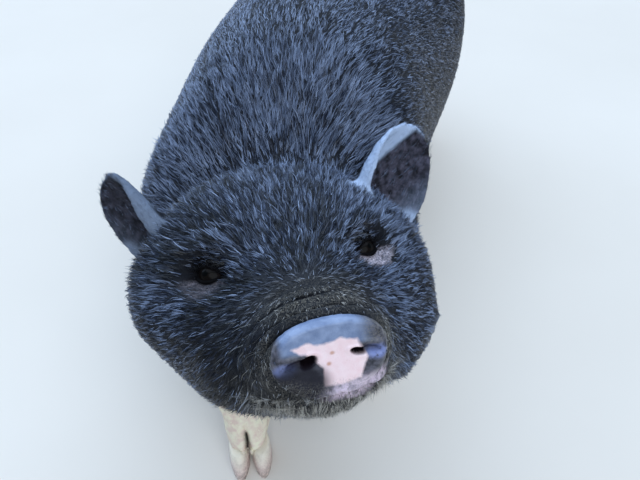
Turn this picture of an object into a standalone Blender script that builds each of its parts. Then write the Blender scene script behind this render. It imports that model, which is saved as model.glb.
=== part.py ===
"""A pot-bellied pig standing with its nose raised: a still, life-size museum model.

Metres, +Z up.  The pig faces -Y, its left side is +X and it stands on z = 0.  The body is lofted whole,
blended into one surface, and then parted with thin cuts where its parts are named.
Tables of sizes are in centimetres and CM turns them into metres.  They are measured from a point on the
floor below the throat, and the last step moves the origin under the middle of the animal.
"""
import math

import bmesh
import bpy
import numpy as np
from mathutils import Matrix, Vector

CM = 0.01

# Fineness of the surface
VOXEL = 0.006             # size of the blending grid
BODY_TRIANGLES = 4800     # what the body surface is reduced to
HEAD_COST = 0.0001        # how much dearer it is to take a corner from the head than from the rest
HEAD_REACH = 0.17         # how far the head goes round the point between the eyes
SECTION_SIDES = 40        # corners of a cross-section
CUT_SIDES = 22            # corners of the block that cuts the head off
GAP = 0.0003              # clearance between neighbouring solids

# Carriage of the head: turned to the pig's left, nose up, slightly tilted
HEAD_TURN = math.radians(30.9)
HEAD_LIFT = math.radians(45.9)
HEAD_TILT = math.radians(5.1)
HEAD_AT = Vector((3.6, 0.8, 30.0)) * CM        # the point between the eyes

# Trunk stations, front to back: y, x of the middle, half-width, top, bottom, height of the widest place
TRUNK = (
    (3.0, -1.5, 5.8, 19.0, 14.5, 17.0),
    (5.5, -2.6, 10.1, 21.5, 12.0, 17.0),
    (9.0, -3.2, 12.9, 25.4, 10.4, 18.0),
    (14.0, -2.9, 14.7, 31.0, 9.4, 20.0),
    (20.0, -1.9, 15.1, 35.6, 8.6, 21.0),
    (27.0, -1.9, 15.1, 38.0, 7.6, 21.0),
    (35.0, -2.1, 15.9, 37.4, 6.5, 20.5),
    (43.0, -2.0, 17.0, 36.5, 5.7, 20.0),
    (51.0, -1.5, 17.6, 36.9, 6.4, 20.0),
    (58.0, -0.9, 17.3, 38.2, 8.8, 21.6),
    (65.0, -0.6, 15.9, 38.2, 12.4, 23.4),
    (71.0, -0.4, 13.3, 36.4, 15.8, 25.0),
    (75.6, -0.2, 9.6, 33.8, 19.5, 26.4),
    (78.2, -0.2, 4.8, 31.0, 23.5, 27.4),
)

# Head stations, back to front, from the point between the eyes: distance forward, half-width, top,
# bottom, height of the widest place, squareness of the upper half
HEAD = (
    (-14.0, 8.0, 4.0, -8.0, -2.4, 2.2),
    (-10.5, 10.8, 8.0, -10.0, -2.0, 2.2),
    (-7.0, 12.4, 8.5, -11.0, -1.6, 2.1),
    (-4.0, 12.8, 7.0, -11.4, -2.0, 1.95),
    (-1.0, 11.8, 4.6, -11.4, -3.0, 1.75),
    (1.5, 9.6, 2.4, -11.0, -4.2, 1.65),
    (4.0, 6.9, 0.8, -10.4, -5.0, 1.7),
    (6.3, 5.1, -0.8, -9.7, -5.4, 1.85),
    (8.2, 4.3, -2.0, -8.5, -5.4, 2.0),
    (9.4, 3.9, -2.5, -7.8, -5.1, 2.1),
)

# Snout disc, from the point between the eyes
DISC_FORWARD = 10.2
DISC_HEIGHT = -5.0
DISC_HALF_WIDTH = 3.5
DISC_HALF_HEIGHT = 2.2
DISC_THICKNESS = 1.4
DISC_LEAN = math.radians(14)                   # its top leans forward

# Eyes
EYE_RADIUS = 1.12
EYE_AT = (5.75, -0.75, -0.1)                   # left eye: to the side, forward, up

# Ears: side, how much wider than its base it grows, then the inner and outer end of the base and the tip,
# from the point between the eyes: to its own side, forward, up
EARS = {
    "ear_left": (1, 0.20, (8.4, -5.2, 6.6), (12.0, -7.0, 1.2), (14.6, -5.2, 9.3)),
    "ear_right": (-1, -0.04, (9.4, -5.0, 6.0), (12.2, -8.2, 2.6), (13.4, -7.0, 8.9)),
}
EAR_THICKNESS = 0.5
EAR_CUP = 1.7                                  # depth of its hollow
EAR_ROLL_FROM = -0.85                          # where across the ear its inner edge begins to roll forward
EAR_ROLL_TURN = math.radians(150)
EAR_ROLL_RADII = (0.95, 0.4)                   # at the root and at the tip
EAR_ROLL_STEPS = 4
EAR_CUP_STEPS = 8
EAR_ROWS = 6
EAR_ROOT = 0.25                                # how deep it starts in the head, as a share of its length

# Legs, top to bottom: x, y, z, half-width, half-depth
HOOF_TOP = 2.6
FORE_RIGHT = (
    (-8.5, 12.0, 22.0, 5.0, 7.0),
    (-7.8, 8.6, 16.5, 4.8, 5.6),
    (-6.0, 4.4, 12.0, 3.8, 4.1),
    (-4.2, 1.2, 8.8, 3.0, 3.2),
    (-2.9, -0.6, 6.2, 2.5, 2.6),
    (-2.45, -1.3, 4.2, 2.7, 2.8),
    (-2.1, -2.0, 1.4, 2.7, 3.0),
)
FORE_LEFT = (
    (8.5, 15.0, 22.0, 5.0, 7.0),
    (8.2, 13.4, 16.5, 4.8, 5.6),
    (7.8, 12.2, 12.0, 3.8, 4.2),
    (7.5, 11.4, 8.8, 3.0, 3.2),
    (7.4, 11.4, 6.2, 2.5, 2.6),
    (7.4, 11.0, 4.2, 2.7, 2.8),
    (7.4, 10.2, 1.4, 2.7, 3.0),
)
HIND_RIGHT = (
    (-9.4, 65.0, 25.0, 6.0, 10.5),
    (-9.9, 65.4, 19.0, 5.6, 9.0),
    (-9.6, 67.2, 13.6, 4.1, 5.2),
    (-9.0, 70.2, 9.8, 2.7, 3.4),
    (-8.8, 70.4, 7.0, 2.35, 2.6),
    (-8.8, 69.5, 4.4, 2.6, 2.7),
    (-8.8, 68.4, 1.4, 2.6, 2.9),
)
HIND_LEFT = (
    (7.6, 62.0, 25.0, 6.0, 10.5),
    (8.0, 60.6, 19.0, 5.6, 9.0),
    (7.7, 61.0, 13.6, 4.1, 5.2),
    (7.2, 63.4, 9.8, 2.7, 3.4),
    (7.0, 63.5, 7.0, 2.35, 2.6),
    (7.0, 62.7, 4.4, 2.6, 2.7),
    (7.0, 61.6, 1.4, 2.6, 2.9),
)
LEGS = {
    "fore_right": FORE_RIGHT,
    "fore_left": FORE_LEFT,
    "hind_right": HIND_RIGHT,
    "hind_left": HIND_LEFT,
}
# Where each leg is parted from the trunk: y from, y to, x and height of the inner and of the outer edge
LEG_CUTS = {
    "fore_right": (-12.0, 13.5, 0.0, 8.6, -20.0, 16.0),
    "fore_left": (3.0, 18.5, 2.0, 7.4, 20.0, 15.4),
    "hind_right": (58.5, 85.0, -2.0, 7.6, -20.0, 15.6),
    "hind_left": (55.5, 80.0, 1.0, 7.0, 20.0, 15.2),
}

# Feet: how far each is turned out to the pig's left
FOOT_TURN = {"fore_right": 20.0, "fore_left": 6.0, "hind_right": -6.0, "hind_left": 6.0}
FOOT_FORWARD = 0.4                              # from the middle of the pastern to that of the foot
CLAW_APART = 1.24
CLAW_HALF_WIDTH = 1.14
# Claw sections, floor to top: height, tip, heel (forward is negative), share of the half-width
CLAW = (
    (0.0, -3.9, 0.4, 0.96),
    (0.9, -3.7, 0.7, 1.0),
    (1.9, -3.1, 0.9, 0.97),
    (HOOF_TOP, -2.3, 0.9, 0.9),
)
DEWCLAW_AT = (1.65, 2.1, 4.2)                   # from the foot's middle: aside, back, up
DEWCLAW_RADIUS = 0.85

# Tail: x, y, z, half-width, half-depth, from the root to the tip
TAIL = (
    (0.0, 74.5, 32.0, 1.6, 1.6),
    (0.0, 77.6, 31.6, 1.35, 1.35),
    (0.3, 79.6, 29.4, 1.05, 1.0),
    (0.8, 80.6, 26.0, 0.9, 0.8),
    (1.4, 80.8, 22.0, 0.9, 0.7),
    (1.9, 80.6, 18.0, 1.2, 0.7),
    (2.2, 80.4, 15.6, 0.9, 0.5),
    (2.3, 80.3, 14.4, 0.3, 0.25),
)

# Where the neck and the snout begin, measured like the head stations, and the tail and the trunk
NECK_FROM = -10.2
HEAD_SLACK = 1.1                                # how far outside the head form its cut runs
SNOUT_FROM = 6.2
TAIL_FROM = 79.2
TRUNK_TOP = (22.0, 36.0)                        # y, z where the cut behind the neck meets the nape
TRUNK_LOW = (8.5, 12.0)                         # and the breast
FAR = 1.0                                       # reach of the cutting blocks, metres

COLOURS = {
    "coat": (0.02, 0.021, 0.025, 0.55),
    "disc": (0.24, 0.20, 0.23, 0.45),
    "ear": (0.035, 0.028, 0.033, 0.6),
    "eye": (0.02, 0.012, 0.008, 0.08),
    "foot": (0.62, 0.55, 0.48, 0.6),
    "hoof": (0.42, 0.34, 0.27, 0.5),
}


def clear_scene():
    for item in list(bpy.data.objects):
        bpy.data.objects.remove(item, do_unlink=True)


def make_collection(name):
    collection = bpy.data.collections.new(name)
    bpy.context.scene.collection.children.link(collection)
    return collection


def material(name, red, green, blue, roughness):
    made = bpy.data.materials.new(name)
    made.use_nodes = True
    shader = made.node_tree.nodes["Principled BSDF"]
    shader.inputs["Base Color"].default_value = (red, green, blue, 1.0)
    shader.inputs["Roughness"].default_value = roughness
    shader.inputs["Metallic"].default_value = 0.0
    made.diffuse_color = (red, green, blue, 1.0)
    return made


def head_frame():
    """Head-local metres (x to the pig's left, -y forward, z up) to the world."""
    turn = Matrix.Rotation(HEAD_TURN, 4, "Z")
    lift = Matrix.Rotation(-HEAD_LIFT, 4, "X")
    tilt = Matrix.Rotation(HEAD_TILT, 4, "Y")
    return Matrix.Translation(HEAD_AT) @ turn @ lift @ tilt


def head_point(side, forward, up):
    return head_frame() @ (Vector((side, -forward, up)) * CM)


def between(rows, steps):
    """The given rows with steps more between each pair, on a Catmull-Rom curve through them."""
    table = np.array(rows, dtype=float)
    first = 2 * table[0] - table[1]
    last = 2 * table[-1] - table[-2]
    padded = np.vstack([first, table, last])
    dense = []
    for i in range(len(table) - 1):
        a, b, c, d = padded[i:i + 4]
        for t in np.arange(steps) / steps:
            square = (2 * a - 5 * b + 4 * c - d) * t ** 2
            cube = (3 * b - a - 3 * c + d) * t ** 3
            dense.append(0.5 * (2 * b + (c - a) * t + square + cube))
    dense.append(table[-1])
    return dense


def oval(half_width, up, down, upper=2.0, lower=2.0, sides=SECTION_SIDES):
    """Corners of a section whose upper and lower halves differ, as (across, height) pairs."""
    corners = []
    for i in range(sides):
        angle = 2 * math.pi * i / sides
        squareness = upper if math.sin(angle) > 0 else lower
        across = math.copysign(abs(math.cos(angle)) ** (2 / squareness), math.cos(angle))
        height = math.copysign(abs(math.sin(angle)) ** (2 / squareness), math.sin(angle))
        corners.append((half_width * across, (up if height > 0 else down) * height))
    return corners


def mesh_object(name, mesh, collection):
    made = bpy.data.objects.new(name, mesh)
    collection.objects.link(made)
    return made


def finish_mesh(name, bm):
    bmesh.ops.recalc_face_normals(bm, faces=bm.faces)
    mesh = bpy.data.meshes.new(name)
    bm.to_mesh(mesh)
    bm.free()
    return mesh


def loft(name, rings):
    """A closed skin through rings of corners, all with the same count."""
    bm = bmesh.new()
    loops = [[bm.verts.new(corner) for corner in ring] for ring in rings]
    for near, far in zip(loops, loops[1:]):
        for i in range(len(near)):
            j = (i + 1) % len(near)
            bm.faces.new((near[i], near[j], far[j], far[i]))
    bm.faces.new(reversed(loops[0]))
    bm.faces.new(loops[-1])
    return finish_mesh(name, bm)


def trunk_mesh():
    rings = []
    for y, middle, half_width, top, bottom, widest in between(TRUNK, 4):
        section = oval(half_width, top - widest, widest - bottom, 2.15, 2.15)
        rings.append([Vector((middle + x, y, widest + z)) * CM for x, z in section])
    return loft("trunk_form", rings)


def head_mesh(steps=4, grow=0.0, sides=SECTION_SIDES, rows=HEAD):
    frame = head_frame()
    rings = []
    for forward, half_width, top, bottom, widest, upper in between(rows, steps):
        section = oval(half_width + grow, top + grow - widest, widest + grow - bottom, upper, 2.0, sides)
        rings.append([frame @ (Vector((x, -forward, widest + z)) * CM) for x, z in section])
    return loft("head_form", rings)


def column_mesh(name, rows, steps=4):
    """A limb with level sections."""
    rings = []
    for x, y, z, half_width, half_depth in between(rows, steps):
        section = oval(half_width, half_depth, half_depth)
        rings.append([Vector((x + across, y + along, z)) * CM for across, along in section])
    return loft(name, rings)


def path_mesh(name, rows, steps=4):
    """A limb whose sections stand square to its path."""
    dense = between(rows, steps)
    rings = []
    for i, row in enumerate(dense):
        before = dense[max(i - 1, 0)]
        after = dense[min(i + 1, len(dense) - 1)]
        run = Vector(after[:3]) - Vector(before[:3])
        run.normalize()
        across = Vector((1.0, 0.0, 0.0))
        up = across.cross(run).normalized()
        across = run.cross(up)
        place = Vector(row[:3])
        section = oval(row[3], row[4], row[4])
        rings.append([(place + across * x + up * z) * CM for x, z in section])
    return loft(name, rings)


def disc_matrix():
    place = Matrix.Translation(Vector((0.0, -DISC_FORWARD, DISC_HEIGHT)) * CM)
    return head_frame() @ place @ Matrix.Rotation(DISC_LEAN, 4, "X")


def disc_mesh():
    """The flat end of the snout, a little wider than the muzzle behind it."""
    profile = ((-DISC_THICKNESS, 0.90), (-0.5, 0.98), (-0.15, 1.0), (0.0, 0.95))
    rings = []
    for forward, scale in profile:
        section = oval(DISC_HALF_WIDTH * scale, DISC_HALF_HEIGHT * scale, DISC_HALF_HEIGHT * scale, 2.3, 2.3)
        rings.append([disc_matrix() @ (Vector((x, -forward, z)) * CM) for x, z in section])
    return loft("disc_form", rings)


def evaluated_mesh(item):
    graph = bpy.context.evaluated_depsgraph_get()
    return bpy.data.meshes.new_from_object(item.evaluated_get(graph), depsgraph=graph)


def apply_modifiers(item):
    bpy.context.view_layer.update()
    old = item.data
    item.data = evaluated_mesh(item)
    item.modifiers.clear()
    bpy.data.meshes.remove(old)


def joined(name, meshes, collection):
    bm = bmesh.new()
    for mesh in meshes:
        bm.from_mesh(mesh)
        bpy.data.meshes.remove(mesh)
    return mesh_object(name, finish_mesh(name, bm), collection)


def blend_surface(item, voxel, rounds):
    remesh = item.modifiers.new("blend", "REMESH")
    remesh.mode = "VOXEL"
    remesh.voxel_size = voxel
    smooth = item.modifiers.new("smooth", "SMOOTH")
    smooth.factor = 0.5
    smooth.iterations = rounds
    apply_modifiers(item)


def dab(item, centre, reach, push):
    """Moves the surface near a point by push, fading over the reach (one number, or three in head axes)."""
    frame = head_frame()
    into = frame.inverted()
    shift = frame.to_3x3() @ (Vector(push) * CM)
    place = Vector((centre[0], -centre[1], centre[2])) * CM
    for vertex in item.data.vertices:
        offset = into @ vertex.co - place
        far = sum((offset[k] / (reach[k] * CM)) ** 2 for k in range(3))
        if far < 6.0:
            vertex.co += shift * math.exp(-far)


def sculpt_head(body):
    """Brows, eye hollows, cheeks and the dip of the nose, on both sides."""
    for side in (1, -1):
        dab(body, (side * 6.4, 1.0, -0.4), (3.4, 3.6, 2.6), (0.0, 1.0, 0.0))
        dab(body, (side * 5.9, 0.6, -0.1), (1.7, 3.0, 1.15), (0.0, 1.3, 0.0))
        dab(body, (side * 5.4, -0.6, 2.2), (2.6, 2.6, 1.1), (0.0, -0.45, 0.25))
    dab(body, (10.5, -1.5, -8.5), (3.0, 5.0, 3.2), (1.3, 0.0, -0.8))
    dab(body, (8.6, 1.3, -8.3), (2.7, 3.2, 2.4), (2.4, 0.2, -1.3))
    dab(body, (-10.0, -1.0, -5.5), (2.6, 5.0, 3.0), (1.1, 0.0, 0.4))


def head_weights(item):
    """A group that lets the head keep more of its corners when the surface is reduced."""
    group = item.vertex_groups.new(name="reduce")
    for vertex in item.data.vertices:
        near = (vertex.co - HEAD_AT).length < HEAD_REACH
        group.add([vertex.index], 0.5 if near else 1.0, "REPLACE")
    return group.name


def decimated(item, triangles):
    bm = bmesh.new()
    bm.from_mesh(item.data)
    bmesh.ops.triangulate(bm, faces=bm.faces)
    bm.to_mesh(item.data)
    bm.free()
    fewer = item.modifiers.new("fewer", "DECIMATE")
    fewer.vertex_group = head_weights(item)
    fewer.vertex_group_factor = HEAD_COST
    fewer.ratio = triangles / len(item.data.polygons)
    fewer.use_collapse_triangulate = True
    apply_modifiers(item)
    item.vertex_groups.clear()


def foot_matrix(leg):
    x, y = LEGS[leg][-1][:2]
    place = Matrix.Translation(Vector((x, y - FOOT_FORWARD, 0.0)) * CM)
    return place @ Matrix.Rotation(math.radians(FOOT_TURN[leg]), 4, "Z")


def dewclaw_mesh(leg, side):
    bm = bmesh.new()
    bmesh.ops.create_uvsphere(bm, u_segments=12, v_segments=8, radius=DEWCLAW_RADIUS * CM)
    aside, back, up = DEWCLAW_AT
    place = foot_matrix(leg) @ Matrix.Translation(Vector((side * aside, back, up)) * CM)
    bmesh.ops.transform(bm, matrix=place, verts=bm.verts)
    return finish_mesh("dewclaw_form", bm)


def whole_body(scrap):
    forms = [trunk_mesh(), head_mesh(), disc_mesh()]
    for name, rows in LEGS.items():
        forms.append(column_mesh("leg_form_" + name, rows))
        forms.extend(dewclaw_mesh(name, side) for side in (1, -1))
    forms.append(path_mesh("tail_form", TAIL))
    body = joined("body", forms, scrap)
    blend_surface(body, VOXEL, 5)
    sculpt_head(body)
    decimated(body, BODY_TRIANGLES)
    return body


def ear_columns():
    """Places across the ear, from the end of its rolled edge, -1, to its outer edge, 1."""
    roll = [-1 + (EAR_ROLL_FROM + 1) * i / EAR_ROLL_STEPS for i in range(EAR_ROLL_STEPS)]
    cup = [EAR_ROLL_FROM + (1 - EAR_ROLL_FROM) * i / EAR_CUP_STEPS for i in range(EAR_CUP_STEPS + 1)]
    return roll + cup


def ear_section(u, half_width, cup, reach):
    """Across the ear and out of its opening: a hollow whose inner edge rolls forward over it."""
    if u >= EAR_ROLL_FROM:
        return u * half_width, cup * (u * u - 0.6)
    slope = math.atan2(-2 * cup * EAR_ROLL_FROM, half_width)
    root_radius, tip_radius = EAR_ROLL_RADII
    radius = root_radius + (tip_radius - root_radius) * reach
    rolled = (EAR_ROLL_FROM - u) / (EAR_ROLL_FROM + 1)
    turn = slope + EAR_ROLL_TURN * (1 - reach * reach) * rolled
    start_across, start_out = ear_section(EAR_ROLL_FROM, half_width, cup, reach)
    across = start_across - radius * (math.sin(turn) - math.sin(slope))
    return across, start_out + radius * (math.cos(slope) - math.cos(turn))


def ear_surface(side, swell, inner, outer, tip):
    """The ear as an open, hollowed sheet: wide, round-ended, its inner edge rolled forward."""
    inner, outer, tip = Vector(inner), Vector(outer), Vector(tip)
    middle = (inner + outer) / 2
    along = tip - middle
    half = (outer - inner) / 2
    opening = half.cross(along).normalized()
    if opening.y < 0:
        opening.negate()
    bm = bmesh.new()
    sheet = []
    for j in range(EAR_ROWS + 1):
        reach = math.sin(0.5 * math.pi * 0.97 * j / EAR_ROWS)
        spread = (1 + swell * math.sin(math.pi * reach)) * math.sqrt(1 - reach ** 4)
        cup = EAR_CUP * (1.0 - 0.55 * reach) * spread
        root = 0.6 * (1 - reach) ** 2
        centre = middle + along * (reach - EAR_ROOT * (1 - reach)) - opening * root
        row = []
        for u in ear_columns():
            across, out = ear_section(u, half.length * spread, cup, reach)
            place = centre + half.normalized() * across + opening * out
            row.append(bm.verts.new(head_point(side * place.x, place.y, place.z)))
        sheet.append(row)
    for low, high in zip(sheet, sheet[1:]):
        for i in range(len(low) - 1):
            bm.faces.new((low[i], low[i + 1], high[i + 1], high[i]))
    return finish_mesh("ear_sheet", bm)


def keep_largest(item):
    """Drops the crumbs that a cut leaves beside the piece."""
    bm = bmesh.new()
    bm.from_mesh(item.data)
    left = set(bm.verts)
    islands = []
    while left:
        grown = [left.pop()]
        for vertex in grown:
            for edge in vertex.link_edges:
                other = edge.other_vert(vertex)
                if other in left:
                    left.remove(other)
                    grown.append(other)
        islands.append(grown)
    islands.sort(key=len)
    for crumbs in islands[:-1]:
        bmesh.ops.delete(bm, geom=crumbs, context="VERTS")
    bm.to_mesh(item.data)
    bm.free()


def swollen(item, by, scrap):
    """A cutter the shape of item, its surface moved out by a clearance."""
    made = mesh_object(item.name + "_cutter", item.data.copy(), scrap)
    push = made.modifiers.new("clearance", "DISPLACE")
    push.strength = by
    push.mid_level = 0.0
    apply_modifiers(made)
    return made


def block(name, point, normal, scrap):
    """A block that fills the side of a plane which normal points away from."""
    bm = bmesh.new()
    bmesh.ops.create_cube(bm, size=2 * FAR)
    bmesh.ops.translate(bm, verts=bm.verts, vec=(0.0, 0.0, -FAR))
    bmesh.ops.rotate(bm, verts=bm.verts, matrix=normal.to_track_quat("Z", "Y").to_matrix())
    bmesh.ops.translate(bm, verts=bm.verts, vec=point)
    return mesh_object(name, finish_mesh(name, bm), scrap)


def leg_block(leg, by, scrap):
    """The space that a leg takes below its sloping cut, grown by a clearance."""
    front, back, inner, inner_top, outer, outer_top = LEG_CUTS[leg]
    grow = by / CM
    side = 1 if outer > inner else -1
    bm = bmesh.new()
    bmesh.ops.create_cube(bm, size=1.0)
    for vertex in bm.verts:
        outward = vertex.co.x * side > 0
        x = outer + side * grow if outward else inner - side * grow
        y = back + grow if vertex.co.y > 0 else front - grow
        top = (outer_top if outward else inner_top) + grow * 1.15
        z = top if vertex.co.z > 0 else -5.0
        vertex.co = Vector((x, y, z)) * CM
    return mesh_object("leg_block", finish_mesh("leg_block", bm), scrap)


def cut(item, cutter, operation):
    cutter.hide_render = True
    cutter.display_type = "WIRE"
    boolean = item.modifiers.new("cut", "BOOLEAN")
    boolean.operation = operation
    boolean.solver = "EXACT"
    boolean.object = cutter
    apply_modifiers(item)
    keep_largest(item)


def copied(item, name, collection):
    return mesh_object(name, item.data.copy(), collection)


def parted(item, name, point, normal, pig, scrap):
    """Cuts the piece in front of a plane off item, as a new object, with a clearance between them."""
    piece = copied(item, name, pig)
    cut(piece, block(name + "_behind", point + normal * GAP / 2, normal, scrap), "DIFFERENCE")
    cut(item, block(name + "_front", point - normal * GAP / 2, normal, scrap), "INTERSECT")
    return piece


def part_legs(body, pig, scrap):
    up = Vector((0.0, 0.0, 1.0))
    sole_cut = Vector((0.0, 0.0, HOOF_TOP * CM + GAP))
    for leg in LEGS:
        piece = copied(body, "leg_" + leg, pig)
        cut(piece, leg_block(leg, 0.0, scrap), "INTERSECT")
        cut(piece, block("sole_block", sole_cut, up, scrap), "DIFFERENCE")
        cut(body, leg_block(leg, GAP, scrap), "DIFFERENCE")


def head_block(grow, scrap):
    """The space of the head and snout: the head form made larger and longer, cut off square behind the crown."""
    beyond_disc = (DISC_FORWARD + 2.0,) + HEAD[-1][1:]
    form = head_mesh(1, HEAD_SLACK + grow, CUT_SIDES, HEAD + (beyond_disc,))
    made = mesh_object("head_block", form, scrap)
    split = made.modifiers.new("same_diagonals", "TRIANGULATE")
    split.quad_method = "FIXED"
    apply_modifiers(made)
    forward = head_frame().to_3x3() @ Vector((0.0, -1.0, 0.0))
    back = block("head_back", head_point(0.0, NECK_FROM - grow, 0.0), forward, scrap)
    cut(made, back, "DIFFERENCE")
    return made


def part_body(body, pig, scrap):
    """Divides the whole body into its named parts."""
    part_legs(body, pig, scrap)
    head = copied(body, "head", pig)
    cut(head, head_block(0.0, scrap), "INTERSECT")
    cut(body, head_block(GAP / CM, scrap), "DIFFERENCE")
    forward = head_frame().to_3x3() @ Vector((0.0, -1.0, 0.0))
    parted(head, "snout", head_point(0.0, SNOUT_FROM, 0.0), forward, pig, scrap)
    back = Vector((0.0, 1.0, 0.0))
    parted(body, "tail", Vector((0.0, TAIL_FROM, 30.0)) * CM, back, pig, scrap)
    low = Vector((0.0, *TRUNK_LOW)) * CM
    top = Vector((0.0, *TRUNK_TOP)) * CM
    toward_head = Vector((-1.0, 0.0, 0.0)).cross(top - low).normalized()
    if toward_head.y > 0:
        toward_head.negate()
    parted(body, "neck", low, toward_head, pig, scrap)
    body.name = "trunk"
    return head


def ear_object(name, pig, body_cutter):
    made = mesh_object(name, ear_surface(*EARS[name]), pig)
    shell = made.modifiers.new("thickness", "SOLIDIFY")
    shell.thickness = EAR_THICKNESS * CM
    shell.offset = 0.0
    apply_modifiers(made)
    cut(made, body_cutter, "DIFFERENCE")


def eye_ball(name, side, radius, collection):
    bm = bmesh.new()
    bmesh.ops.create_uvsphere(bm, u_segments=16, v_segments=9, radius=radius * CM)
    bmesh.ops.translate(bm, verts=bm.verts, vec=head_point(side * EYE_AT[0], EYE_AT[1], EYE_AT[2]))
    return mesh_object(name, finish_mesh(name, bm), collection)


def set_eyes(head, pig, scrap):
    for name, side in (("eye_left", 1), ("eye_right", -1)):
        eye_ball(name, side, EYE_RADIUS, pig)
        cut(head, eye_ball(name + "_socket", side, EYE_RADIUS + GAP / CM, scrap), "DIFFERENCE")


def claw_object(leg, side, pig):
    """One claw: a pointed, flat-soled hoof, higher at the toe than at the heel."""
    corners = 14
    rings = []
    for z, tip, heel, share in CLAW:
        ring = []
        for i in range(corners):
            angle = 2 * math.pi * i / corners
            y = (tip + heel) / 2 - (heel - tip) / 2 * math.cos(angle)
            narrow = 1.0 - 0.22 * (0.5 + 0.5 * math.cos(angle)) ** 2
            x = side * CLAW_APART + CLAW_HALF_WIDTH * share * narrow * math.sin(angle)
            ring.append(foot_matrix(leg) @ (Vector((x, y, z)) * CM))
        rings.append(ring)
    outer = side > 0 if leg.endswith("left") else side < 0
    name = "hoof_" + leg + ("_outer" if outer else "_inner")
    mesh_object(name, loft(name, rings), pig)


def paint(pig):
    slots = {name: material(name, *values) for name, values in COLOURS.items()}
    for item in pig.objects:
        kind = item.name.split("_")[0]
        slot = {"ear": "ear", "eye": "eye", "hoof": "hoof", "snout": "disc"}.get(kind, "coat")
        item.data.materials.clear()
        item.data.materials.append(slots[slot])
        item.data.shade_smooth()


def centre_on_floor(pig):
    """Hangs every piece on one empty, so that the origin lies under the middle of the animal."""
    corners = [vertex.co for item in pig.objects for vertex in item.data.vertices]
    low = [min(corner[axis] for corner in corners) for axis in range(3)]
    high = [max(corner[axis] for corner in corners) for axis in range(3)]
    root = bpy.data.objects.new("pig_root", None)
    root.location = (-(low[0] + high[0]) / 2, -(low[1] + high[1]) / 2, -low[2])
    for item in list(pig.objects):
        item.parent = root
    pig.objects.link(root)


def main():
    clear_scene()
    pig = make_collection("pig")
    scrap = make_collection("cutters")
    body = whole_body(scrap)
    scrap.objects.unlink(body)
    pig.objects.link(body)
    body_cutter = swollen(body, GAP, scrap)
    for name in EARS:
        ear_object(name, pig, body_cutter)
    head = part_body(body, pig, scrap)
    set_eyes(head, pig, scrap)
    for leg in LEGS:
        for side in (1, -1):
            claw_object(leg, side, pig)
    paint(pig)
    centre_on_floor(pig)
    bpy.context.view_layer.update()


main()
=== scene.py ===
"""The looks of the pot-bellied pig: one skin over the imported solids, its coat, eyes and claws.

Metres, +Z up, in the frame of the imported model.  The skin is fused from the flesh nodes, drawn in by the
depth of the coat and sculpted in the axes of the head.  The coat is made of thin blades that follow the
lie of the hair.  Tables in the axes of the head are in centimetres: to the pig's left, forward, up.
"""
import math

import bmesh
import bpy
import numpy as np
from mathutils import Matrix, Vector
from mathutils.bvhtree import BVHTree
from mathutils.kdtree import KDTree


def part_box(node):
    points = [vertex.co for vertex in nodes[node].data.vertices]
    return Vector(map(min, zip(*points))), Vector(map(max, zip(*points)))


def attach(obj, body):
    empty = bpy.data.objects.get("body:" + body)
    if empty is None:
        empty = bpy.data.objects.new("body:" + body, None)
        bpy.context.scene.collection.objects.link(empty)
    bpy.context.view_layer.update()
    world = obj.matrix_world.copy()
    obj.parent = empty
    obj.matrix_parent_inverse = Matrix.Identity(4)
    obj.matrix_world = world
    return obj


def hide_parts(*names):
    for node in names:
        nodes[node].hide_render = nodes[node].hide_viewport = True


CM = 0.01
MM = 0.001
SEED = 7
FAR = 9.0  # more than any angle or distance that is compared with it

# The head's carriage: turned to the pig's left, nose up, slightly tilted
HEAD_TURN = math.radians(30.9)
HEAD_LIFT = math.radians(45.9)
HEAD_TILT = math.radians(5.1)
EYES_FROM_HEAD = (0.0, -0.75, -0.1)  # the point between the eyeballs, in the axes of the head

# Camera: where it is from the origin of the head's axes, and how it looks
CAMERA_FROM_HEAD = Vector((8.2, -24.2, 29.7)) * CM
CAMERA_YAW = math.radians(13.6)
CAMERA_PITCH = math.radians(47.0)
CAMERA_ROLL = math.radians(-1.7)
CAMERA_LENS = 29.25  # millimetres, on a 36 mm sensor

LEGS = ("fore_right", "fore_left", "hind_right", "hind_left")
EARS = ("ear_left", "ear_right")
FLESH = ("trunk", "neck", "head", "snout", "tail") + EARS + tuple("leg_" + leg for leg in LEGS)
EYES = {"eye_left": 1, "eye_right": -1}

# Skin
SEAL = 0.5 * MM  # how far each solid is grown, so that neighbours fuse
VOXEL = 3.0 * MM
CALM_MIDDLE = (0.0, 3.0, -3.0)  # of the part of the head that is smoothed less than the rest
CALM_REACH = 0.13
FACE_MIDDLE = (0.0, 2.5, -3.0)
FACE_REACH = 0.135  # round the middle of the face, refined once
FEATURE_REACH = 0.026  # round each eye and feature, refined once more
FEATURES = ((-2.0, 9.6, -5.2), (2.0, 9.6, -5.2), (-1.4, 8.8, -2.6), (1.4, 8.8, -2.6))
TOE_UP = 0.018  # the feature of a foot is this high over the middle of a claw
COAT_DEPTH = {  # how far the skin lies under the solid, by region
    "trunk": 5.0 * MM,
    "neck": 5.0 * MM,
    "head": 3.0 * MM,
    "snout": 1.2 * MM,
    "tail": 1.5 * MM,
    "ear": 0.9 * MM,
    "leg": 2.0 * MM,
}

# Disc of the snout
DISC_FORWARD = 10.2
DISC_HEIGHT = -5.0
DISC_HALF_WIDTH = 3.5
DISC_HALF_HEIGHT = 2.2
DISC_LEAN = math.radians(14)
DISC_POWER = 2.3  # of its outline: 2 would be an ellipse
# From behind the disc to its face: distance out of it, and scale
DISC_PROFILE = ((-1.6, 0.84), (-0.9, 0.96), (-0.25, 1.0), (-0.05, 0.985), (0.04, 0.94))
DISC_CORNERS = 96


def unit(vectors):
    return vectors / np.maximum(np.linalg.norm(vectors, axis=-1, keepdims=True), 1e-12)


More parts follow.
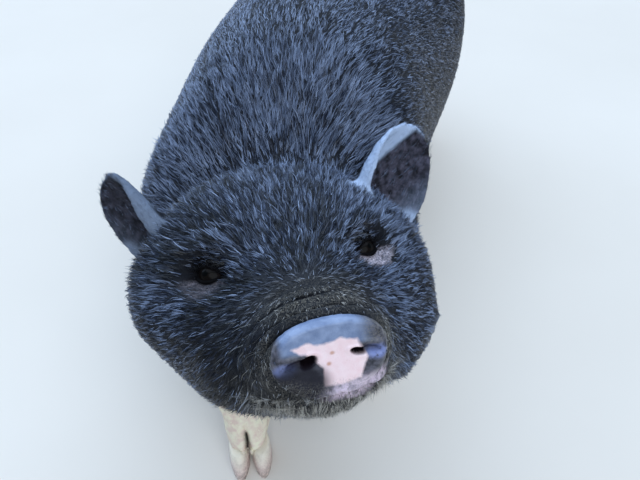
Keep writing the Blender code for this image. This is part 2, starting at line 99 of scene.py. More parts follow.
def smoothstep(value, low, high):
    share = np.clip((value - low) / (high - low), 0.0, 1.0)
    return share * share * (3 - 2 * share)


def bell(value, middle, width):
    return np.exp(-((value - middle) / width) ** 2)


def middle_of(node):
    low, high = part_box(node)
    return (low + high) / 2


def claws_of(leg):
    """The middles of the inner and the outer claw of a foot."""
    return [middle_of("hoof_%s_%s" % (leg, which)) for which in ("inner", "outer")]


def head_frame():
    """Head-local metres, x to the pig's left, -y forward, z up, to the world."""
    turn = Matrix.Rotation(HEAD_TURN, 4, "Z")
    lift = Matrix.Rotation(-HEAD_LIFT, 4, "X")
    axes = turn @ lift @ Matrix.Rotation(HEAD_TILT, 4, "Y")
    side, forward, up = EYES_FROM_HEAD
    between_eyes = (middle_of("eye_left") + middle_of("eye_right")) / 2
    return Matrix.Translation(between_eyes - axes @ (Vector((side, -forward, up)) * CM)) @ axes


class Head:
    """Turns points between the world and (side, forward, up) centimetres in the axes of the head."""

    def __init__(self):
        self.matrix = np.array(head_frame())
        self.turn = self.matrix[:3, :3]
        self.at = self.matrix[:3, 3]

    def local(self, points):
        there = (points - self.at) @ self.turn
        return np.stack([there[..., 0], -there[..., 1], there[..., 2]], axis=-1) / CM

    def world(self, local):
        return self.direction(local) * CM + self.at

    def direction(self, local):
        local = np.asarray(local, dtype=float)
        flipped = np.stack([local[..., 0], -local[..., 1], local[..., 2]], axis=-1)
        return flipped @ self.turn.T


def read(collection, name, width, kind=np.float64):
    found = np.empty(len(collection) * width, kind)
    collection.foreach_get(name, found)
    return found.reshape(-1, width) if width > 1 else found


def triangles_of(mesh, what="vertices"):
    mesh.calc_loop_triangles()
    return read(mesh.loop_triangles, what, 3, np.int32)


def tree_of(points):
    """Finds the closest of the points."""
    tree = KDTree(len(points))
    for index, point in enumerate(points):
        tree.insert(point, index)
    tree.balance()
    return tree


def link(name, mesh):
    made = bpy.data.objects.new(name, mesh)
    bpy.context.scene.collection.objects.link(made)
    return made


def linked(bm, name, material=None):
    """An object with the mesh that was built in bm, which is freed."""
    mesh = bpy.data.meshes.new(name)
    bm.to_mesh(mesh)
    bm.free()
    if material:
        mesh.shade_smooth()
        mesh.materials.append(material)
    return link(name, mesh)


def apply_modifiers(item):
    graph = bpy.context.evaluated_depsgraph_get()
    graph.update()
    mesh = bpy.data.meshes.new_from_object(item.evaluated_get(graph), depsgraph=graph)
    item.modifiers.clear()
    old = item.data
    item.data = mesh
    bpy.data.meshes.remove(old)


def remeshed(item, voxel):
    change = item.modifiers.new("fuse", "REMESH")
    change.mode = "VOXEL"
    change.voxel_size = voxel
    apply_modifiers(item)


class Surface:
    """Arrays for a mesh that is being sculpted."""

    def __init__(self, item):
        self.item = item
        self.load()

    def load(self):
        mesh = self.item.data
        self.co = read(mesh.vertices, "co", 3)
        self.edges = read(mesh.edges, "vertices", 2, np.int32)
        self.count = np.bincount(self.edges.ravel(), minlength=len(self.co)).astype(float)
        self.refresh()

    def refresh(self):
        mesh = self.item.data
        mesh.vertices.foreach_set("co", self.co.ravel())
        mesh.update()
        self.normals = read(mesh.vertex_normals, "vector", 3)

    def push(self, amount):
        """Moves the surface out along its normals, by an amount for each vertex."""
        self.co += self.normals * amount[:, None]

    def averaged(self, values):
        """Each vertex's mean over its neighbours."""
        a, b = self.edges.T
        columns = values.reshape(len(values), -1).T
        size = len(self.co)
        sums = [np.bincount(a, c[b], size) + np.bincount(b, c[a], size) for c in columns]
        return (np.array(sums) / np.maximum(self.count, 1)).T.reshape(values.shape)

    def relax(self, rounds, amount):
        """Smooths the surface without much shrinking: each round in is followed by a smaller one out."""
        amount = np.broadcast_to(amount, len(self.co))[:, None]
        for _ in range(rounds):
            self.co += amount * (self.averaged(self.co) - self.co)
            self.co -= 0.9 * amount * (self.averaged(self.co) - self.co)
        self.refresh()

    def blurred(self, values, rounds):
        for _ in range(rounds):
            values = 0.5 * values + 0.5 * self.averaged(values)
        return values

    def tree(self):
        return BVHTree.FromPolygons(self.co.tolist(), triangles_of(self.item.data).tolist())


# ---------------------------------------------------------------- the bare form

def grown_copy(bm, node, by):
    """Adds a node's closed mesh to bm, its surface moved out by a hair."""
    piece = bmesh.new()
    piece.from_mesh(node.data)
    bmesh.ops.remove_doubles(piece, verts=piece.verts, dist=1e-6)
    bmesh.ops.recalc_face_normals(piece, faces=piece.faces)
    piece.normal_update()
    for vertex in piece.verts:
        vertex.co += vertex.normal * by
    mesh = bpy.data.meshes.new("grown")
    piece.to_mesh(mesh)
    piece.free()
    bm.from_mesh(mesh)
    bpy.data.meshes.remove(mesh)


def disc_slab(bm, head):
    """Adds a closed slab with the outline of the disc and softly rounded edges."""
    rings = []
    for out, scale in DISC_PROFILE:
        ring = []
        for i in range(DISC_CORNERS):
            angle = 2 * math.pi * i / DISC_CORNERS
            across, rise = (math.copysign(abs(part) ** (2 / DISC_POWER), part) for part in
                            (math.cos(angle), math.sin(angle)))
            place = (scale * DISC_HALF_WIDTH * across, out, scale * DISC_HALF_HEIGHT * rise)
            ring.append(bm.verts.new(head.world(disc_to_head(np.array(place)))))
        rings.append(ring)
    faces = [bm.faces.new(rings[0]), bm.faces.new(rings[-1])]
    for low, high in zip(rings, rings[1:]):
        for i in range(DISC_CORNERS):
            faces.append(bm.faces.new((low[i - 1], low[i], high[i], high[i - 1])))
    bmesh.ops.recalc_face_normals(bm, faces=faces)


def fused_flesh(nodes, head):
    bm = bmesh.new()
    disc_slab(bm, head)
    for name in FLESH + tuple(EYES):
        grown_copy(bm, nodes[name], SEAL)
    skin = linked(bm, "skin")
    remeshed(skin, VOXEL)
    return skin


def region_shares(surface, nodes):
    """{region: share at each vertex}, softened across the borders between the nodes."""
    tree = tree_of([vertex.co for name in FLESH for vertex in nodes[name].data.vertices])
    owners = [index for index, name in enumerate(FLESH) for _ in nodes[name].data.vertices]
    owner = np.array([owners[tree.find(point)[1]] for point in surface.co.tolist()])
    shares = {}
    for index, name in enumerate(FLESH):
        shares[name] = surface.blurred((owner == index).astype(float), 12)
    shares["ear"] = shares["ear_left"] + shares["ear_right"]
    shares["leg"] = sum(shares["leg_" + leg] for leg in LEGS)
    return shares


def refine(item, chosen):
    """Quarters the faces whose corners are all in chosen, an array of booleans by vertex."""
    bm = bmesh.new()
    bm.from_mesh(item.data)
    bm.verts.ensure_lookup_table()
    edges = [edge for edge in bm.edges if chosen[edge.verts[0].index] and chosen[edge.verts[1].index]]
    bmesh.ops.subdivide_edges(bm, edges=edges, cuts=1, use_grid_fill=True, smooth=0.0)
    bm.to_mesh(item.data)
    bm.free()


def near(points, centre, reach):
    return np.linalg.norm(points - np.array(centre), axis=1) < reach


def near_any(points, centres, reach):
    return np.any([near(points, centre, reach) for centre in centres], axis=0)


def base_skin(nodes, head):
    """The flesh fused and smoothed, drawn in by the depth of the coat, and refined where it is sculpted."""
    skin = fused_flesh(nodes, head)
    surface = Surface(skin)
    shares = region_shares(surface, nodes)
    calm = np.clip(1.0 - shares["ear"] * 1.4, 0.15, 1.0) * np.clip(1.0 - 0.6 * shares["leg"], 0.3, 1.0)
    face = near(surface.co, head.world(CALM_MIDDLE), CALM_REACH)
    surface.relax(6, np.where(face, 0.35, 0.5) * calm)
    surface.relax(34, np.where(face, 0.1, 0.55) * calm)
    depth = sum(shares[name] * by for name, by in COAT_DEPTH.items())
    surface.push(-depth * (1.0 - disc_share(head.local(surface.co))))
    surface.refresh()
    toes = [middle_of(name) + Vector((0, 0, TOE_UP)) for name in nodes if name.startswith("hoof")]
    features = [middle_of(name) for name in EYES] + [head.world(place) for place in FEATURES] + toes
    for reach, centres in ((FACE_REACH, [head.world(FACE_MIDDLE)]), (FEATURE_REACH, features)):
        chosen = near_any(surface.co, centres, reach)
        if reach == FACE_REACH:
            chosen |= shares["ear"] > 0.4
        refine(skin, chosen)
        surface.load()
        surface.relax(3, np.where(near_any(surface.co, centres, reach), 0.4, 0.0))
    return surface


# ---------------------------------------------------------------- places on the head

def disc_local(local):
    """(across, out of the disc, up the disc) centimetres, from the middle of the disc."""
    forward = local[..., 1] - DISC_FORWARD
    up = local[..., 2] - DISC_HEIGHT
    out = forward * math.cos(DISC_LEAN) + up * math.sin(-DISC_LEAN)
    rise = forward * math.sin(DISC_LEAN) + up * math.cos(DISC_LEAN)
    return np.stack([local[..., 0], out, rise], axis=-1)


def disc_to_head(place):
    """From the axes of the disc to those of the head."""
    across, out, rise = np.moveaxis(place, -1, 0)
    forward = DISC_FORWARD + out * math.cos(DISC_LEAN) + rise * math.sin(DISC_LEAN)
    up = DISC_HEIGHT - out * math.sin(DISC_LEAN) + rise * math.cos(DISC_LEAN)
    return np.stack([across, forward, up], axis=-1)


def disc_reach(place):
    """0 in the middle of the disc and 1 on its outline."""
    across, rise = np.abs(place[..., 0]) / DISC_HALF_WIDTH, np.abs(place[..., 2]) / DISC_HALF_HEIGHT
    return (across ** DISC_POWER + rise ** DISC_POWER) ** (1 / DISC_POWER)


def disc_share(local):
    """1 on the flat disc at the end of the snout, 0 behind its rim."""
    place = disc_local(local)
    behind = -0.42 - 0.55 * smoothstep(place[..., 2], 0.3, 1.4)
    return smoothstep(place[..., 1] - behind, 0.0, 0.18) * smoothstep(-disc_reach(place), -1.16, -1.06)


# ---------------------------------------------------------------- sculpting

def blob(surface, head, centre, reach):
    """1 at a point in the head's axes, falling off over three radii."""
    off = (head.local(surface.co) - np.array(centre)) / np.array(reach)
    return np.exp(-(off ** 2).sum(axis=1))


def swell(surface, head, centre, reach, height):
    """Raises the skin along its normals near a point in the head's axes."""
    surface.push(height * CM * blob(surface, head, centre, reach))


def curve_through(points, spacing):
    """A Catmull-Rom curve through the points, with a point about every spacing."""
    points = np.array(points, dtype=float)
    padded = np.vstack([2 * points[0] - points[1], points, 2 * points[-1] - points[-2]])
    dense = []
    for i in range(len(points) - 1):
        a, b, c, d = padded[i:i + 4]
        steps = max(2, int(np.linalg.norm(c - b) / spacing))
        for t in np.arange(steps) / steps:
            square = (2 * a - 5 * b + 4 * c - d) * t ** 2
            cube = (3 * b - a - 3 * c + d) * t ** 3
            dense.append(0.5 * (2 * b + (c - a) * t + square + cube))
    dense.append(points[-1])
    return np.array(dense)


def along_path(surface, path, reach):
    """Vertices within reach of a path laid on the skin: their indices, distances and shares along it."""
    tree = surface.tree()
    laid = np.array([tree.find_nearest(point)[0] for point in path.tolist()])
    lines = tree_of(laid)
    low = laid.min(axis=0) - reach
    high = laid.max(axis=0) + reach
    close = np.flatnonzero(((surface.co > low) & (surface.co < high)).all(axis=1))
    index, far, share = [], [], []
    for i in close.tolist():
        _, nearest, distance = lines.find(surface.co[i])
        if distance < reach:
            index.append(i)
            far.append(distance)
            share.append(nearest / (len(laid) - 1))
    return np.array(index, dtype=int), np.array(far), np.array(share)


def crease(surface, path, width, depth, lip=0.45):
    """A fold along a path: a groove with a soft lip on both sides, dying out at its ends."""
    index, far, share = along_path(surface, path, 4 * width)
    ends = smoothstep(share, 0.0, 0.22) * smoothstep(1 - share, 0.0, 0.22)
    profile = lip * bell(far, 1.9 * width, 0.9 * width) - bell(far, 0.0, 0.75 * width)
    surface.co[index] += surface.normals[index] * (profile * ends * depth)[:, None]
    surface.refresh()


def head_crease(surface, head, points, width, depth, lip=0.45):
    crease(surface, head.world(curve_through(points, 0.1)), width * CM, depth * CM, lip)


def eye_axes(name, head):
    """Where an eye looks, the way along its lids from the nose outward, and up across them."""
    side = EYES[name]
    gaze = head.direction(unit(np.array([side * 0.50, 0.80, 0.33])))
    along = head.direction(np.array([side * 0.84, -0.50, 0.06]))
    along = unit(along - gaze * (along @ gaze))
    up = np.cross(gaze, along) * side
    return gaze, along, up


EYE_RADIUS = 1.12 * CM  # of the ball that the lids lie on, a little over the eyeball's own
SLIT_HALF_WIDTH = math.radians(72)
UPPER_LID = math.radians(19)
LOWER_LID = math.radians(23)
LID_THICKNESS = 1.1 * MM


def lid_angles(points, name, head):
    """Angles from the eyeball's middle along and across the slit and past its margin, and how far ahead."""
    gaze, along, up = eye_axes(name, head)
    ray = unit(points - np.array(middle_of(name)))
    ahead = ray @ gaze
    across = np.arctan2(ray @ along, np.maximum(ahead, 0.05))
    rise = np.arctan2(ray @ up, np.maximum(ahead, 0.05))
    share = np.clip(1 - (across / SLIT_HALF_WIDTH) ** 2, 0.0, 1.0)
    lean = 0.10 * across
    height = np.where(rise > lean, UPPER_LID * share ** 0.75, LOWER_LID * share ** 0.9)
    beyond_ends = np.maximum(np.abs(across) - SLIT_HALF_WIDTH, 0.0)
    past = np.hypot(np.maximum(np.abs(rise - lean) - height, 0.0), beyond_ends)
    inside = height - np.abs(rise - lean)
    margin = np.where((past > 0) | (inside < 0), past, -inside)
    return across, rise, margin, ahead


def ring(margin, middle, width):
    """1 in a ring round the slit, middle degrees past its margin, falling off over width degrees."""
    return bell(margin, math.radians(middle), math.radians(width))


def outside(margin, low, high):
    """0 up to low degrees past the slit's margin, and 1 from high degrees on."""
    return smoothstep(margin, math.radians(low), math.radians(high))


def shape_lids(surface, head, name):
    """Wraps the skin round the eyeball and opens the slit between the lids."""
    centre = np.array(middle_of(name))
    index = np.flatnonzero(near(surface.co, centre, 2.4 * EYE_RADIUS))
    points = surface.co[index]
    _, rise, margin, ahead = lid_angles(points, name, head)
    away = np.linalg.norm(points - centre, axis=1)
    bulge = 1.0 * MM * ring(margin, 9, 8)
    opening = outside(margin, -1.0, 3.5)
    wrapped = (1 - opening) * 0.86 * EYE_RADIUS + opening * (EYE_RADIUS + LID_THICKNESS + bulge)
    hold = (1 - outside(margin, 16, 40)) * smoothstep(ahead, 0.0, 0.25)
    groove = ring(margin, 21, 5) * 1.7 * MM
    ridge = ring(margin, 30, 8) * np.where(rise > 0, 3.4, 1.6) * MM
    second = ring(margin, 43, 6) * np.where(rise > 0, 0.4, 1.6) * MM
    folds = (ridge - groove - second) * smoothstep(ahead, 0.0, 0.3)
    fade = 1 - smoothstep(away, 1.7 * EYE_RADIUS, 2.3 * EYE_RADIUS)
    target = away + (wrapped - away) * hold + folds * fade
    surface.co[index] = centre + (points - centre) / away[:, None] * target[:, None]
    surface.refresh()


BROW_FOLD_SPACING = 0.78 * CM
BROW_FOLD_HEIGHT = 1.1 * MM


def brow_folds(points, name, head):
    """-1 in the valleys and 1 on the ridges of the arched wrinkles over an eye and by its inner corner."""
    _, along, up = eye_axes(name, head)
    off = points - np.array(middle_of(name))
    away = np.linalg.norm(off, axis=1)
    above = smoothstep((off @ up - 0.25 * (off @ along)) / np.maximum(away, 1e-6), -0.1, 0.5)
    inner = smoothstep(-(off @ along) / np.maximum(away, 1e-6), -0.5, 0.3)
    window = smoothstep(away, 1.5 * CM, 2.0 * CM) * smoothstep(-away, -4.6 * CM, -3.0 * CM)
    waves = np.cos(2 * math.pi * (away + 0.0016 * ripple(points, 0.012, 2.0)) / BROW_FOLD_SPACING)
    return waves * window * above * (0.35 + 0.65 * inner)


# Creases of one side of the face, mirrored on the other: points, width, depth
FACE_CREASES = (
    (((5.5, 0.6, -0.6), (4.4, 2.1, -0.75), (3.3, 3.5, -0.6)), 0.16, 0.22),
    (((5.3, 0.3, 0.9), (4.2, 1.5, 0.8), (3.2, 2.9, 0.3)), 0.16, 0.14),
    (((5.0, 2.2, -2.0), (6.6, 1.7, -2.6), (8.4, 0.2, -2.2)), 0.20, 0.16),
    (((5.6, 3.4, -3.6), (7.2, 2.0, -4.2), (8.8, 0.5, -3.9)), 0.24, 0.12),
    (((4.3, 8.6, -3.4), (4.9, 8.0, -5.0), (4.6, 8.0, -6.6)), 0.22, 0.14),
    (((5.3, 6.6, -3.0), (5.9, 6.0, -5.0), (5.6, 6.0, -7.0)), 0.26, 0.12),
)
# Arched creases over the muzzle: forward, half width, height, depth, and the points of such an arch as
# shares of its half width and offsets forward and up
MUZZLE_ARCHES = ((7.6, 3.2, -1.5, 0.12), (6.5, 2.6, -0.8, 0.09))
ARCH = ((-1.0, -0.5, -1.2), (-0.6, 0.0, -0.25), (0.0, 0.1, 0.0), (0.6, 0.0, -0.25), (1.0, -0.5, -1.2))
FOREHEAD_CREASES = ((-0.5, -0.25), (0.6, 0.2))  # place across, and how far the ends lean aside


def sculpt_face(surface, head):
    """Brows, cheeks and the folds of the muzzle."""
    for side in (1, -1):
        swell(surface, head, (side * 5.2, -0.2, 1.9), (2.6, 2.2, 0.75), 0.34)
        swell(surface, head, (side * 7.6, 0.2, -3.2), (2.4, 2.6, 1.5), 0.16)
    surface.refresh()
    for name in EYES:
        shape_lids(surface, head, name)
        surface.push(BROW_FOLD_HEIGHT * brow_folds(surface.co, name, head))
        surface.refresh()
    for side in (1, -1):
        swell(surface, head, (side * 4.4, 1.8, 0.1), (0.9, 1.0, 0.45), 0.16)
        for points, width, depth in FACE_CREASES:
            head_crease(surface, head, np.array(points) * (side, 1, 1), width, depth)
    for forward, half, height, depth in MUZZLE_ARCHES:
        arch = [(share * half, forward + ahead, height + up) for share, ahead, up in ARCH]
        head_crease(surface, head, arch, 0.20, depth, 0.8)
    for x, slant in FOREHEAD_CREASES:
        head_crease(surface, head, [(x + slant, 3.2, 1.0), (x, 2.0, 1.9), (x - slant, 0.6, 2.9)], 0.24, 0.08)


# From under the middle of the disc to below the cheek
MOUTH_HALF = ((0.0, 9.4, -7.7), (1.8, 9.0, -7.8), (3.6, 7.8, -8.1), (5.2, 5.4, -8.2), (6.6, 3.2, -8.0),
              (7.4, 1.2, -7.2))


def sculpt_mouth(surface, head):
    """The mouth's line, from under the disc to below the cheeks, and the chin."""
    line = [(-x, y, z) for x, y, z in MOUTH_HALF[:0:-1]] + list(MOUTH_HALF)
    head_crease(surface, head, line, 0.26, 0.34, 0.5)
    swell(surface, head, (0.0, 7.6, -9.4), (2.6, 2.2, 1.2), 0.2)
    surface.refresh()


# By side, in centimetres across and up the disc: the middle of each nostril, and half its opening
NOSTRILS = {1: ((1.56, 0.0), (0.42, 0.23)), -1: ((1.34, -0.10), (0.46, 0.36))}


def nostril_place(place, side):
    """0 in the middle of a nostril and 1 on its rim; the opening leans outward and down."""
    middle, half = NOSTRILS[side]
    across = side * place[..., 0] - middle[0]
    rise = place[..., 2] - middle[1] + 0.22 * across
    return np.hypot(across / half[0], rise / half[1])


def nostril_groove(place, side):
    """1 along the groove that runs outward from a nostril over its flank."""
    middle, _ = NOSTRILS[side]
    outward = side * place[..., 0] - middle[0]
    curve = place[..., 2] - middle[1] - 0.12 + 0.16 * np.clip(outward, 0, 2) ** 1.3
    ends = smoothstep(outward, 0.1, 0.5) * smoothstep(-outward, -1.55, -1.05)
    return curve, ends


# Folds over the muzzle behind the disc: centimetres back from its face, height, half width
MUZZLE_FOLDS = ((1.00, -0.36, 0.16), (1.52, 0.22, 0.24), (2.06, -0.32, 0.15), (2.75, 0.15, 0.32),
                (3.45, -0.17, 0.17), (4.4, -0.09, 0.20))


def muzzle_folds(place):
    """Height in centimetres of the folds at places in the axes of the disc."""
    across, out, _ = np.moveaxis(place, -1, 0)
    back = -out - 0.12 * np.abs(across + 0.6) ** 1.2
    fold = sum(height * bell(back, at, width) for at, height, width in MUZZLE_FOLDS)
    return fold * (1 - 0.6 * smoothstep(across, 0.8, 2.4)) * smoothstep(-back, -5.6, -4.4)


def sculpt_disc(surface, head):
    """Levels and rims the disc, opens the nostrils with their grooves, and folds the skin behind it."""
    place = disc_local(head.local(surface.co))
    across, out, rise = place.T
    reach = disc_reach(place)
    face = (out > -0.6) & (reach < 1.0)
    level = 0.04 - 0.09 * np.clip(1 - reach, 0, 1) ** 2
    moved = np.where(face, (level - out) * (1 - smoothstep(reach, 0.84, 0.96)), 0.0)
    rim = 0.02 * bell(reach, 0.86, 0.08) * face
    split = -0.05 * bell(across, 0.0, 0.35) * smoothstep(-rise, 0.2, 1.4) * face
    sunk = np.zeros(len(across))
    for side in (1, -1):
        hole = nostril_place(place, side)
        sunk -= 0.95 * (1 - smoothstep(hole, 0.50, 1.15))
        sunk += 0.07 * bell(hole, 1.45, 0.3) * smoothstep(rise, -0.3, 0.3)
        curve, ends = nostril_groove(place, side)
        sunk -= 0.30 * bell(curve, 0.0, 0.22) * ends
        sunk += (0.10 * bell(curve, 0.42, 0.18) + 0.06 * bell(curve, -0.45, 0.22)) * ends
    sunk = np.where(face | ((out > -1.2) & (reach < 0.9)), sunk, 0.0)
    ahead = head.direction(np.array([0.0, math.cos(DISC_LEAN), -math.sin(DISC_LEAN)]))
    surface.co += ahead * ((moved + rim + split + sunk) * CM)[:, None]
    surface.refresh()
    above = smoothstep(rise, -1.4, 0.6) * (reach < 2.0)
    under = -0.16 * bell(out, -0.6, 0.3) * (1 - above) * smoothstep(-reach, -1.75, -1.45)
    surface.push((muzzle_folds(place) * above + under) * (out < -0.28) * CM)
    surface.refresh()


def sculpt_body(surface, shares):
    """Folds where the neck, elbows and flanks bend."""
    x, y, z = surface.co.T
    start = middle_of("neck")
    for back, depth, width in ((-0.02, 2.2, 9.0), (0.035, 1.6, 10.0)):
        bend = y - (start.y + back) - 0.35 * (0.25 - z) + 0.02 * np.sin(18 * x + 5 * z)
        low = smoothstep(0.27 - z, 0.0, 0.08) * smoothstep(shares["neck"] + shares["trunk"], 0.3, 0.8)
        surface.push(-bell(bend, 0.0, width * MM) * depth * MM * low)
    surface.refresh()


def sculpt_feet(surface):
    """Splits each foot between its two toes, and sinks it a little where the claws stand proud."""
    for leg in LEGS:
        inner, outer = claws_of(leg)
        middle = np.array((inner + outer) / 2)
        aside = unit(np.array([outer.x - inner.x, outer.y - inner.y, 0.0]))
        index = np.flatnonzero(near(surface.co, middle + (0, 0, 0.02), 0.05))
        height = surface.co[index, 2]
        across = (surface.co[index] - middle) @ aside
        split = bell(across, 0.0, 3.2 * MM) * smoothstep(0.066 - height, 0.0, 0.022)
        cuff = smoothstep(0.032 - height, 0.0, 0.010) * 1.2 * MM
        surface.co[index] += surface.normals[index] * (-cuff * (1 - split) - 8.0 * MM * split)[:, None]
    surface.refresh()


# ---------------------------------------------------------------- markings, painted light and painted shade

# Ears in the axes of the head, to its own side: inner and outer end of the base, and the tip
EAR_PLACES = {
    "ear_left": (1, (8.4, -5.2, 6.6), (12.0, -7.0, 1.2), (14.6, -5.2, 9.3)),
    "ear_right": (-1, (9.4, -5.0, 6.0), (12.2, -8.2, 2.6), (13.4, -7.0, 8.9)),
}


def ear_frame(name):
    """The middle of an ear's base, and from there to its outer end and to the tip, in the head's axes."""
    side, *places = EAR_PLACES[name]
    inner, outer, tip = np.array(places) * (side, 1, 1)
    middle = (inner + outer) / 2
    return middle, (outer - inner) / 2, tip - middle


def ear_places(points, name, head):
    """Across the ear from its inner edge, -1, to its outer one, 1; along it from its root, 0, to its tip, 1;
    centimetres out of its opening; and that direction and the one across, in the world."""
    middle, half, along = ear_frame(name)
    opening = unit(np.cross(half, along))
    if opening[1] < 0:
        opening = -opening
    off = head.local(points) - middle
    across, reach, out = off @ half / (half @ half), off @ along / (along @ along), off @ opening
    return across, reach, out, head.direction(opening), head.direction(unit(half))


def oval_spot(place, centre, reach, soft=0.25):
    """1 inside an oval on the disc and 0 outside it, with a soft border."""
    off = np.hypot((place[:, 0] - centre[0]) / reach[0], (place[:, 2] - centre[1]) / reach[1])
    return 1 - smoothstep(off, 1 - soft, 1 + soft)


# The pink patch, in centimetres across and up the disc
PINK_OUTLINE = ((-2.3, 0.85), (-1.4, 1.1), (-0.4, 0.78), (0.6, 1.05), (1.6, 0.8), (2.1, -0.4), (1.6, -1.65),
                (0.4, -1.8), (-0.65, -1.75), (-0.5, -0.6), (-1.0, -0.1), (-1.5, 0.45))
PINK_SPOTS = ((0.05, 0.2), (-0.2, -0.42))
GLEAMS = ((-2.75, -0.35), (2.7, -0.22))  # the bluish shine at both ends of the disc


def within_outline(place, outline, soft):
    """1 inside a closed outline on the disc and 0 outside it, with a soft border."""
    spot = place[:, [0, 2]]
    inside = np.zeros(len(spot), dtype=bool)
    away = np.full(len(spot), FAR)
    for start, end in zip(np.array(outline), np.roll(outline, -1, axis=0)):
        side, off = end - start, spot - start
        along = np.clip(off @ side / (side @ side), 0, 1)
        away = np.minimum(away, np.linalg.norm(off - along[:, None] * side, axis=1))
        crossed = (start[1] > spot[:, 1]) != (end[1] > spot[:, 1])
        inside ^= crossed & (off[:, 0] < off[:, 1] * side[0] / side[1])
    return smoothstep(np.where(inside, away, -away), -soft, soft)


def shaggy_side(place):
    """1 on the low rim of the disc on the pig's right, where hair grows over it."""
    rim = smoothstep(disc_reach(place), 0.6, 0.92) * smoothstep(-disc_reach(place), -1.5, -1.2)
    return rim * smoothstep(-place[:, 2], 0.6, 1.3) * smoothstep(-place[:, 0], -0.2, 0.6)


def ripple(points, scale, phase=0.0):
    """A smooth uneven value between -1 and 1 that varies over about scale metres."""
    x, y, z = (points / scale).T
    first = np.sin(1.7 * x + 2.3 * y + phase) * np.cos(1.3 * z - 1.9 * y + 1.1 * phase)
    second = np.sin(3.1 * y - 2.7 * z + 0.6 * phase) * np.cos(2.9 * x + 1.1)
    return 0.6 * first + 0.4 * second


# How much of their pale marking each eye's lids and each ear have: a lid's includes a painted highlight over
# the eye, an ear's is a painted reflection of the sky on its edges
PALE_LIDS = {"eye_left": 1.25, "eye_right": 0.28}
PALE_EARS = {"ear_left": 1.0, "ear_right": 0.36}


def nostril_mark(place):
    """1 in the nostrils, and less in the grooves that run outward from them; both are painted dark as shade.
    """
    out = place[:, 1]
    mark = np.zeros(len(place))
    for side in (1, -1):
        curve, ends = nostril_groove(place, side)
        hole = 1 - smoothstep(nostril_place(place, side), 0.8, 1.35)
        hole = np.maximum(hole, 0.75 * bell(curve, 0.04, 0.16) * ends)
        mark = np.maximum(mark, hole * (out > -2.5) * smoothstep(out, -2.6, -2.2))
    return mark


def disc_marks(points, local):
    """The markings on the disc, the lip below it and the folded skin behind it, with painted reflections of
    the sky on the disc and painted shade in its nostrils, on its lower left and in the folds.
    """
    place = disc_local(local)
    across, out, rise = place.T
    disc = disc_share(local)
    wobble = ripple(points, 0.006)[:, None] * np.array([0.07, 0.0, 0.07])
    # painted reflection of the sky along the top of the disc
    band = smoothstep(rise, 0.35, 0.75) * smoothstep(across, -3.1, -2.6) * smoothstep(-across, -2.8, -1.3)
    gleams = [oval_spot(place, centre, (0.62, 0.42), 0.5) for centre in GLEAMS]
    spots = np.max([oval_spot(place, centre, (0.13, 0.11), 0.5) for centre in PINK_SPOTS], axis=0)
    # painted shade in the valleys of the folds behind the disc
    fold = np.clip(-7 * muzzle_folds(place) - 0.35, 0, 1) * smoothstep(rise, 0.2, 1.2)
    return {
        "disc": disc,
        "disc_reflection": band * disc,
        "pink": within_outline(place + wobble, PINK_OUTLINE, 0.26) * disc,
        "spots": spots * disc,
        # painted shade on the disc's lower left
        "plum": oval_spot(place, (-2.15, -1.45), (1.85, 1.35), 0.3) * disc,
        "gleam": np.maximum(*gleams) * disc,
        "lip": oval_spot(place, (1.75, -2.45), (2.4, 0.88), 0.4) * smoothstep(out, -2.6, -1.5),
        "fold": fold * (np.abs(across) < 4.5) * (1 - disc),
        "nostril": nostril_mark(place),
    }


def eye_marks(points, head):
    """The pale bags of the lower lids, a painted highlight over each eye, and painted shade round each eye
    under its hooded lids.
    """
    lids, rims = np.zeros(len(points)), np.zeros(len(points))
    for name in EYES:
        across, rise, margin, ahead = lid_angles(points, name, head)
        facing = smoothstep(ahead, 0.05, 0.3) * near(points, middle_of(name), 2.2 * EYE_RADIUS)
        bag = ring(margin, 25, 11) * smoothstep(-rise, 0.05, 0.3)
        # a painted highlight over the eye
        above = ring(margin, 46, 9) * smoothstep(rise, 0.3, 0.7) * bell(across, 0.0, 0.5)
        lids = np.maximum(lids, (bag + 0.8 * above) * PALE_LIDS[name] * facing)
        # painted shade round each eye, under its hooded lids
        oval = np.hypot(across / math.radians(84), (rise - 0.10) / math.radians(48))
        rims = np.maximum(rims, (1 - smoothstep(oval, 0.88, 1.15)) * facing)
    return {"lid": lids, "lid_shade": rims}


def cleft_mark(points):
    """1 in the cleft between the toes of each foot."""
    low = smoothstep(-points[:, 2], -0.056, -0.044)
    mark = np.zeros(len(points))
    for leg in LEGS:
        inner, outer = (np.array(claw) for claw in claws_of(leg))
        middle = (inner + outer) / 2
        cleft = bell((points - middle) @ unit((outer - inner) * (1, 1, 0)), 0.0, 2.2 * MM) * low
        mark = np.maximum(mark, cleft * near(points, middle, 0.05))
    return mark


def dust_mark(local, marks):
    """Dust on the folded muzzle, the chin, beside the disc, on the left jowl and on parts of the rim."""
    place = disc_local(local)
    across, out, rise = place.T
    muzzle = bell(local[:, 1], 8.3, 2.1) * smoothstep(local[:, 2], -3.6, -1.8)
    beside = smoothstep(local[:, 1], 7.6, 8.8) * smoothstep(np.abs(local[:, 0]), 2.5, 3.6)
    jowl = bell(across, 4.7, 1.0) * bell(rise, 0.1, 1.2) * smoothstep(out, -5.0, -3.0)
    around = np.clip(0.95 * muzzle + 0.95 * marks["chin"] + 0.6 * beside + 0.7 * jowl, 0, 1)
    upper_rim = smoothstep(across, 1.7, 2.4) * smoothstep(rise, 0.1, 0.6)
    low_rim = marks["disc"] * smoothstep(-rise, 1.3, 1.8) * smoothstep(across, -0.8, 0.4)
    rims = np.clip(0.7 * upper_rim * marks["disc"] + 0.7 * low_rim + 0.55 * shaggy_side(place), 0, 1)
    return np.maximum(around * (1 - marks["disc"]), rims) * (1 - 0.8 * marks["fold"])


